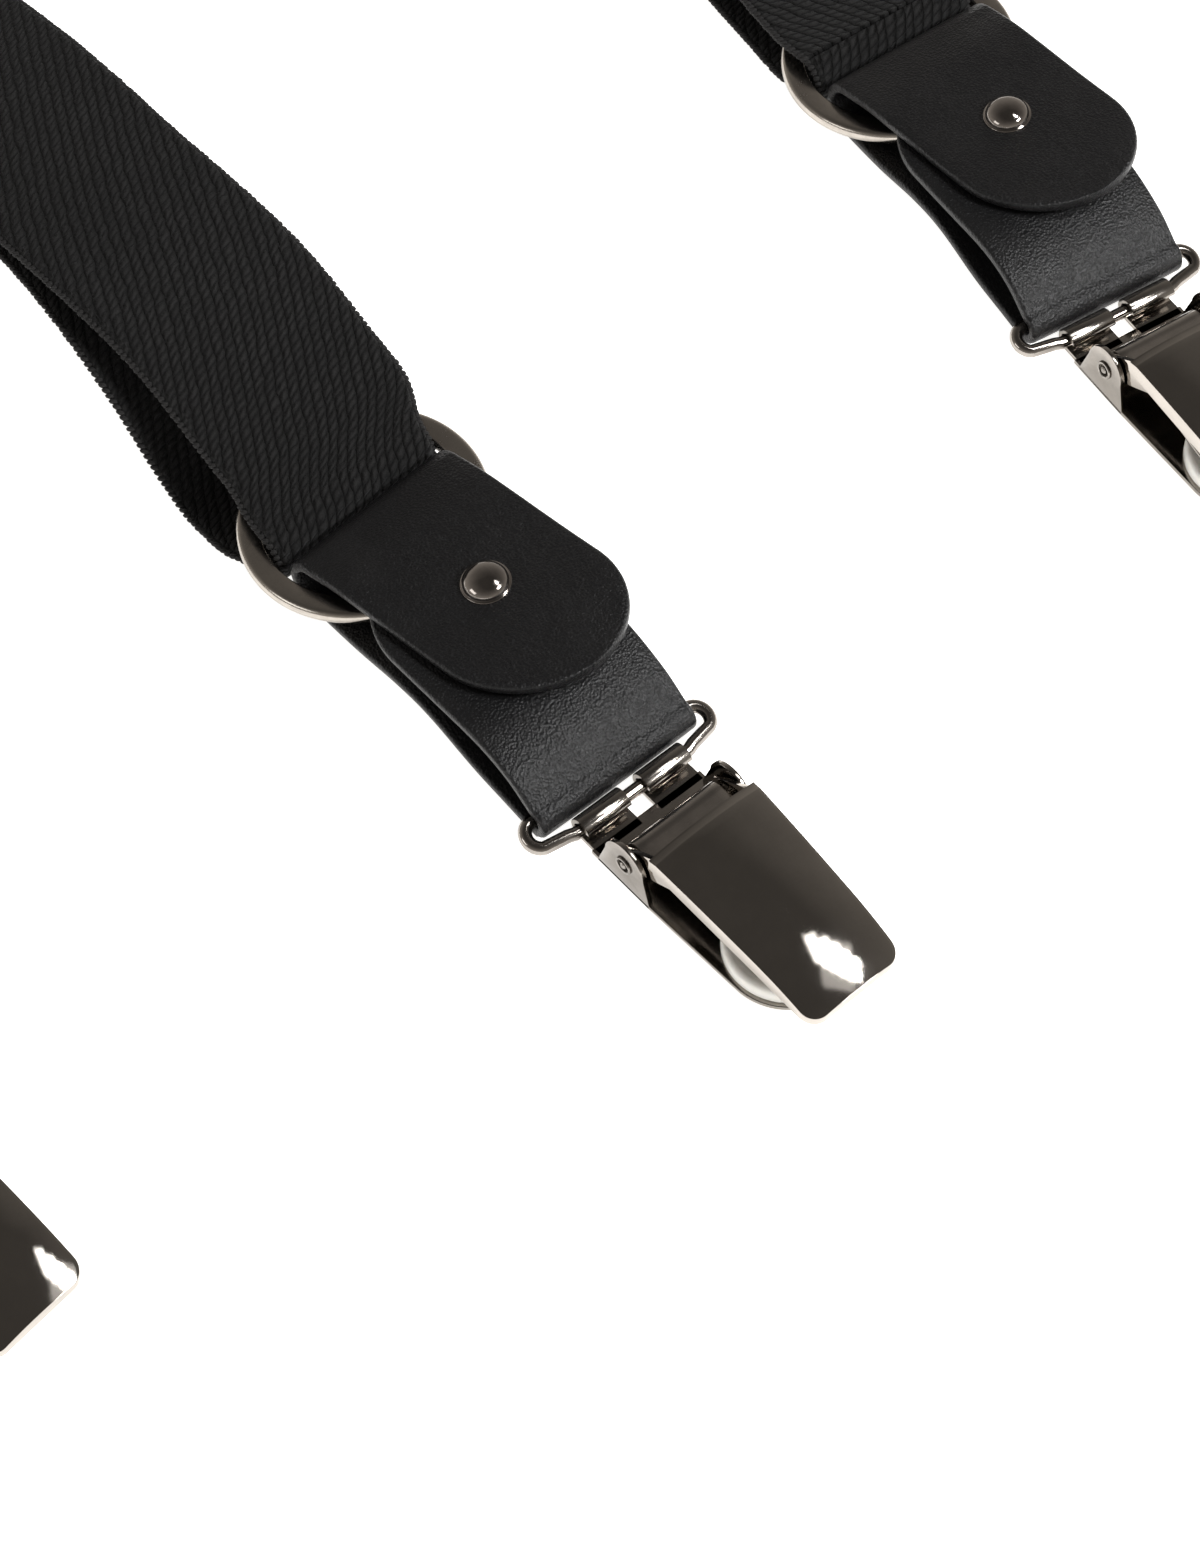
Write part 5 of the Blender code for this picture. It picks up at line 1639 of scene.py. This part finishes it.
@dataclass
class FrontStrap(WebStrap):
    """One webbing strap: patch, shoulder roll, adjuster run and the turn through its ring."""

    anchor: Vector = field(default_factory=lambda: Vector((0.0, 0.0)))
    layer: float = SIZES.lower_layer
    run: float = 425.0 * MM
    roll_radius: float = 7.5 * MM

    def run_height(self, distance: float) -> float:
        """Height of the upper run at a distance behind the ring."""
        top = SIZES.fold_height()
        sliding = Adjuster.rest + Adjuster.radius
        high = sliding + Adjuster.radius + SIZES.web_thickness + SIZES.gap
        to_run = smooth_step((distance - 6.0 * MM) / (30.0 * MM))
        to_table = smooth_step((distance - 242.0 * MM) / (40.0 * MM))
        climb = smooth_step((distance - self.run + 150.0 * MM) / (75.0 * MM))
        level = top + (high - top) * to_run
        level += (SIZES.web_bed - high) * to_table
        return level + 2.0 * self.roll_radius * climb

    def folded(self, point: Vector, axis: Vector, out: Vector) -> tuple[Vector, float]:
        """Carries a flat point over the shoulder roll; gives its plan place and turn."""
        corner = Vector((0.0, self.run))
        beyond = (point - corner).dot(out)
        if beyond <= 0.0:
            return point, 0.0
        along = corner + axis * (point - corner).dot(axis)
        if beyond >= math.pi * self.roll_radius:
            return along - out * (beyond - math.pi * self.roll_radius), math.pi
        angle = beyond / self.roll_radius
        return along + out * self.roll_radius * math.sin(angle), angle

    def shoulder(self) -> tuple[Vector, Vector, float, float]:
        """The fold that sends the strap to the patch: axis, side, turn length and last run."""
        target = (self.place.matrix.inverted() @ self.anchor.to_3d()).to_2d()
        up = Vector((0.0, 1.0))
        corner = up * self.run

        def miss(tilt: float) -> tuple[float, Vector, Vector, float, float]:
            """How far the strap passes beside the anchor at a tilt of the fold."""
            axis = Vector((math.cos(tilt), math.sin(tilt)))
            out = Vector((-math.sin(tilt), math.cos(tilt)))
            length = math.pi * self.roll_radius / up.dot(out)
            start, _ = self.folded(corner + up * length, axis, out)
            heading = 2.0 * axis * up.dot(axis) - up
            gone = target - start
            return heading.x * gone.y - heading.y * gone.x, axis, out, length, gone.length

        side = 1.0 if target.x > 0.0 else -1.0
        low, high = 0.0, side * math.radians(44.0)
        for _ in range(50):
            middle = (low + high) / 2.0
            if (miss(low)[0] > 0.0) == (miss(middle)[0] > 0.0):
                low = middle
            else:
                high = middle
        return miss(low)[1:]

    def dress(self) -> None:
        label = self.place.label
        axis, out, turn_length, last = self.shoulder()
        total = self.run + turn_length + last
        fold = SIZES.ring_fold(24)
        start = -fold[0][0]
        reach = [start + l for l in spaced(total - start, 1.1 * MM)]
        probe = Strip([Vector((0, 0)), Vector((1, 0))], SIZES.web_thickness,
                      lambda i: self.width / 2.0, columns=32, under_columns=12,
                      edge=0.85 * MM)
        relief = TwillRelief()
        rows, along = [], []
        for s in reversed(reach):
            half = SIZES.web_half(-s) - 0.4 * MM
            rise_in = smooth_step((s - total + 95.0 * MM) / (60.0 * MM))
            roll = SIZES.ring_roll * (1.0 - smooth_step((s - 12.0 * MM) / (30.0 * MM)))
            section, _ = probe.outline(half)
            row = []
            for side, rise in section:
                if rise > 0.0:
                    rise += relief(side / MM, (total - s) / MM)
                flat, angle = self.folded(Vector((side, s)), axis, out)
                level = self.run_height(min(s, self.run)) + side * math.sin(roll)
                level -= self.roll_radius * (1.0 - math.cos(angle))
                level += (self.layer - SIZES.web_bed) * rise_in
                normal = (Vector((0.0, 0.0, math.cos(angle)))
                          + Vector((out.x, out.y, 0.0)) * math.sin(angle))
                row.append(Vector((flat.x, flat.y, level)) + normal * rise)
            rows.append(row)
            along.append((total - s) / MM)
        turn = [Vector(p) for p in fold[1:]]
        turn.append(Vector((turn[-1][0] - 2.0 * MM, SIZES.fold_foot)))
        tail = Strip(turn, SIZES.web_thickness,
                     lambda i: SIZES.web_half(turn[i][0]) - 0.4 * MM, lambda i: 0.0,
                     lambda i: SIZES.ring_roll, 32, 12, 0.85 * MM).skin()
        rows += tail.rows
        along += [along[-1] + 0.3 + l for l in tail.along]
        skin = Skin(rows, tail.across, along)
        name = "front_webbing_" + label
        strap, edge = self.finished(name, skin, "straps",
                                    ["front_strap_" + label, "shoulder_turn_" + label], 12)
        along[-1] * MM


@dataclass
class ReturnRun(WebStrap):
    """The strap's doubled-back end: along the table and round the adjuster's bar."""

    def dress(self) -> None:
        """Builds the run and its hem stitches."""
        label, s = self.place.label, SIZES
        start = s.ring_fold(8)[-1][0] - 2.0 * MM - s.gap
        bar = (-Adjuster.distance, Adjuster.rest)
        loop = arc(bar, Adjuster.radius, 270.0, 80.0, 24)
        lap = s.web_bed + s.web_thickness + s.gap
        count = 120
        run = []
        for k in range(count):
            distance = start + (bar[0] - start) * k / count
            low = smooth_step((-distance - 14.0 * MM) / (30.0 * MM))
            run.append((distance, s.fold_foot + (s.web_bed - s.fold_foot) * low))
        hem = [(bar[0] + 6.5 * MM, lap + 1.1 * MM), (bar[0] + 12.0 * MM, lap + 0.1 * MM),
               (bar[0] + 20.0 * MM, lap)]
        path = [Vector(p) for p in run + loop] + smooth_curve([loop[-1]] + hem, 8)[1:]

        def roll(i: int) -> float:
            """The ring's roll near the ring."""
            return s.ring_roll * (1.0 - smooth_step((-path[i][0] - 12.0 * MM) / (30.0 * MM)))

        strip = Strip(path, s.web_thickness, lambda i: s.web_half(path[i][0]) - 0.4 * MM,
                      lambda i: 0.0, roll, 30, 12, 0.85 * MM)
        name = "return_webbing_" + label
        whole = running_lengths(path)[-1]
        piece, edge = self.finished(name, strip.skin(), None, ["return_run_" + label], 12)
        level = lap + s.web_thickness / 2.0 + 0.05 * MM
        lines = [[self.place.matrix @ Vector((x, -(bar[0] + d), level))
                  for x in [-13.5 * MM + 27.0 * MM * k / 12 for k in range(13)]]
                 for d in (14.0 * MM, 17.5 * MM)]
        thread = Yarn((0.045, 0.043, 0.042), 0.55).make("hem_thread_" + label)
        stitches = BeadRow(2.6 * MM, 2.3 * MM, 0.6 * MM, 0.5 * MM, 0.05, 0.1, 5)
        seam = settle("hem_stitches_" + label,
                      stitches.lay("hem_stitches_" + label, lines, thread), None, [],
                      Slot.WEBBING, [thread])
        last = self.place.matrix @ Vector((0.0, Adjuster.distance - 30.0 * MM, 0.0))
        for part in (piece, edge, seam):
            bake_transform(part)


@dataclass
class Adjuster:
    """Folded metal slide on a front strap, and its bar."""

    place: EndPlace
    distance = 150.0 * MM
    radius = 0.9 * MM + SIZES.gap + SIZES.web_thickness / 2.0
    rest = SIZES.web_bed + 0.9 * MM + SIZES.gap + SIZES.web_thickness / 2.0
    length: float = 22.0 * MM
    gauge: float = 1.2 * MM
    finish: Metal = Metal((0.56, 0.52, 0.475), (0.42, 0.39, 0.35), 0.20, 0.10, 0.014)

    def build(self) -> bpy.types.Mesh:
        """The channel with rounded shoulders and eased ends."""
        s = SIZES
        inner = s.web_width / 2.0 + 3.0 * s.gap
        outer = inner + self.gauge
        run = self.rest + self.radius + s.web_thickness + s.gap
        roof = run + s.web_thickness / 2.0 + s.gap
        top, foot = roof + self.gauge, self.rest - 2.2 * MM
        ease = 0.9 * MM
        right = ([(outer, foot)] + arc((outer - ease, top - ease), ease, 0.0, 90.0, 8))
        left = ([(-x, z) for x, z in reversed(right)])
        outline = right + left + [(-inner, foot), (-inner, roof), (inner, roof), (inner, foot)]
        half = self.length / 2.0
        mesh = slab("slide", outline, -half, half,
                    lambda a, b, level: Vector((a, self.distance - half + level, b)), 0.22 * MM)
        return mesh

    def build_bar(self) -> bpy.types.Mesh:
        """The bar with domed ends."""
        s = SIZES
        face = s.web_width / 2.0 + 3.0 * s.gap + self.gauge
        r = 0.9 * MM
        end = [(r, face), (r * 0.92, face + 0.18 * MM), (r * 0.6, face + 0.28 * MM),
               (0.0, face + 0.3 * MM)]
        profile = [(a, -b) for a, b in reversed(end)] + end
        mesh = turned("bar", profile, 32)
        mesh.transform(Matrix.Rotation(math.pi / 2.0, 4, "Y"))
        mesh.transform(Matrix.Translation((0.0, self.distance, self.rest)))
        return mesh

    def dress(self) -> None:
        """Finishes slide and bar on the adjuster's body."""
        label = self.place.label
        body = "adjuster_" + label
        for name, mesh, node in (("adjuster_slide_", self.build(), "adjuster_frame_"),
                                 ("adjuster_pin_", self.build_bar(), "adjuster_bar_")):
            mesh.transform(self.place.matrix)
            settle(name + label, shaded(mesh), body, [node + label], Slot.SATIN,
                   [self.finish.make(name + "metal_" + label)])


@dataclass
class Patch:
    """Two leather shields over the webbing's ends, sewn round."""

    place: EndPlace
    top_width: float = 66.0 * MM
    foot_width: float = 47.0 * MM
    height: float = SIZES.patch_height
    corner: float = 9.0 * MM
    finish: Leather = Leather(roughness=0.44)

    def outline(self, inset: float, steps: int) -> list[tuple[float, float]]:
        """The shield's outline, or a line at an inset from it."""
        low = SIZES.back_length + inset
        high = SIZES.back_length + self.height - inset
        foot, top = self.foot_width / 2.0 - inset, self.top_width / 2.0 - inset
        r = self.corner - inset
        right = (arc((foot - r, low + r), r, -90.0, -8.0, steps)
                 + arc((top - r, high - r), r, -8.0, 90.0, steps))
        return right + [(-x, y) for x, y in reversed(right)]

    def dress(self) -> None:
        """Builds both leathers and the seam on the upper one."""
        s = SIZES
        roof = s.upper_layer + s.web_thickness / 2.0 + s.gap
        for name, node, low in (("patch_under", "patch_back", 0.15 * MM),
                                ("patch_over", "patch_front", roof)):
            mesh = slab(name, self.outline(0.0, 14), 0.0, s.patch_leather,
                        lambda a, b, level, low=low: Vector((a, b, level + low)), 0.45 * MM)
            mesh.transform(self.place.matrix)
            settle(name, shaded(mesh, 60.0), "straps", [node], Slot.LEATHER,
                   [self.finish.make(name + "_leather")])
        line = [self.place.matrix @ Vector((x, y, roof + s.patch_leather + 0.02 * MM))
                for x, y in self.outline(3.4 * MM, 14)]
        thread = Yarn((0.050, 0.048, 0.046), 0.55).make("patch_thread")
        beads = BeadRow(2.9 * MM, 2.5 * MM, 0.62 * MM, 0.5 * MM, 0.05, 0.12, 8)
        settle("patch_stitches", beads.lay("patch_stitches", [line + [line[0]]], thread),
               "straps", [], Slot.LEATHER, [thread])


# ------------------------------------------------------------------ studio

@dataclass
class Studio:
    """Pale table, soft lights and the camera."""

    back: EndPlace
    azimuth: float = -41.01
    elevation: float = 57.56
    distance: float = 0.495
    lens: float = 78.55
    table_half: float = 3.0
    table_glow: float = 0.95
    sky_strength: float = 0.62
    cloud_depth: float = 0.16
    keys: int = 5
    key_step: float = 0.052

    def aim(self) -> Vector:
        """The point that the camera looks at."""
        origin = self.back.matrix.translation
        return Vector((origin.x - 0.75 * MM, origin.y - 55.3 * MM, 0.0))

    def camera(self) -> None:
        """Sets the camera."""
        data = bpy.data.cameras.new("camera")
        data.lens = self.lens
        data.clip_start, data.clip_end = 0.01, 10.0
        eye = bpy.data.objects.new("camera", data)
        bpy.context.scene.collection.objects.link(eye)
        a, e = math.radians(self.azimuth), math.radians(self.elevation)
        out = Vector((math.sin(a) * math.cos(e), -math.cos(a) * math.cos(e), math.sin(e)))
        eye.location = self.aim() + out * self.distance
        eye.rotation_euler = (-out).to_track_quat("-Z", "Y").to_euler()
        bpy.context.scene.camera = eye

    def light(self, name: str, place: Sequence[float], size: tuple[float, float],
              power: float, colour: Sequence[float] = (1.0, 1.0, 1.0)) -> None:
        """Hangs one soft box that faces the clip.

        Args:
            name: The light's name.
            place: Offset from the camera's aim.
            size: Its width and height.
            power: Its power in watts.
            colour: Its colour.
        """
        data = bpy.data.lights.new(name, "AREA")
        data.shape = "RECTANGLE"
        data.size, data.size_y = size
        data.energy = power
        data.color = colour
        lamp = bpy.data.objects.new(name, data)
        bpy.context.scene.collection.objects.link(lamp)
        lamp.location = self.aim() + Vector(place)
        lamp.rotation_euler = Vector(place).to_track_quat("Z", "Y").to_euler()

    def table(self) -> None:
        """Lays the plain white table."""
        shape = bmesh.new()
        bmesh.ops.create_grid(shape, x_segments=1, y_segments=1, size=self.table_half)
        mesh = bpy.data.meshes.new("table")
        shape.to_mesh(mesh)
        shape.free()
        board = Board("table_white")
        grain = board.noise(board.object_mm(), 0.02, 3.0)
        board.set({"Base Color": board.blend(grain, (0.93, 0.93, 0.93), (0.90, 0.90, 0.895)),
                   "Roughness": 0.7, "Emission Color": (1.0, 0.985, 0.96, 1.0),
                   "Emission Strength": self.table_glow})
        mesh.materials.append(board.material)
        table = bpy.data.objects.new("table", mesh)
        bpy.context.scene.collection.objects.link(table)

    def surroundings(self) -> None:
        """Sets a cloudy sky, light at the horizon and dim overhead, and the view's transform."""
        world = bpy.data.worlds.new("studio")
        world.use_nodes = True
        tree = world.node_tree
        place = tree.nodes.new("ShaderNodeTexCoord")
        parts = tree.nodes.new("ShaderNodeSeparateXYZ")
        cloud = tree.nodes.new("ShaderNodeTexNoise")
        cloud.inputs["Scale"].default_value = 2.6
        cloud.inputs["Detail"].default_value = 1.0
        level = tree.nodes.new("ShaderNodeMath")
        level.operation = "MULTIPLY_ADD"
        level.inputs[1].default_value = self.cloud_depth
        tones = tree.nodes.new("ShaderNodeValToRGB")
        horizon, middle = tones.color_ramp.elements
        horizon.position, horizon.color = 0.0, (1.0, 0.95, 0.88, 1.0)
        middle.position, middle.color = 0.62, (0.42, 0.39, 0.36, 1.0)
        overhead = tones.color_ramp.elements.new(1.0)
        overhead.color = (0.13, 0.121, 0.112, 1.0)
        tree.links.new(place.outputs["Generated"], parts.inputs[0])
        tree.links.new(place.outputs["Generated"], cloud.inputs["Vector"])
        tree.links.new(cloud.outputs[0], level.inputs[0])
        tree.links.new(parts.outputs["Z"], level.inputs[2])
        tree.links.new(level.outputs[0], tones.inputs[0])
        sky = tree.nodes["Background"]
        tree.links.new(tones.outputs[0], sky.inputs["Color"])
        sky.inputs["Strength"].default_value = self.sky_strength
        bpy.context.scene.world = world
        bpy.context.scene.view_settings.view_transform = "Standard"

    def lights(self) -> None:
        """Hangs a fan of narrow key lights and three soft boxes."""
        for k in range(self.keys):
            shift = self.key_step * k
            self.light(f"key_{k}", (0.30 + shift * 0.5, -0.10 - shift, 0.87 - shift * 0.2),
                       (0.17 - 0.015 * k, 0.050), 0.16 + 0.16 * k)
        self.light("fold", (0.36, -0.58, 0.66), (0.24, 0.12), 9.0)
        self.light("veil", (0.33, -0.24, 0.84), (0.26, 0.18), 0.11)
        self.light("left", (-0.95, 0.30, 0.42), (0.5, 0.3), 1.2)

    def dress(self) -> None:
        """Table, surroundings, lights and camera."""
        self.table()
        self.surroundings()
        self.lights()
        self.camera()


def main(packed: dict[str, Any]) -> None:
    """Builds every piece in order.
    """
    logging.basicConfig(level=logging.INFO, format="%(name)s: %(message)s")
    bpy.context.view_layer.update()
    ends = {label: EndPlace.read(label, packed["joints"]) for label in ("back", "left", "right")}
    for place in ends.values():
        for part in (Ring, LeatherTab, Rivet, ClipLoop, ClipBase, Cover, JawLeaf):
            part(place).dress()
    back = ends["back"]
    BackStrap(back).dress()
    height = SIZES.back_length + SIZES.patch_height - 27.0 * MM
    for label, side, layer in (("left", -3.0 * MM, SIZES.lower_layer),
                               ("right", 3.0 * MM, SIZES.upper_layer)):
        anchor = back.matrix @ Vector((side, height, 0.0))
        place = ends[label]
        Adjuster(place).dress()
        FrontStrap(place, anchor=Vector((anchor.x, anchor.y)), layer=layer).dress()
        ReturnRun(place).dress()
    Patch(back).dress()
    Studio(back).dress()


if __name__ == "__main__":
    main(frame)
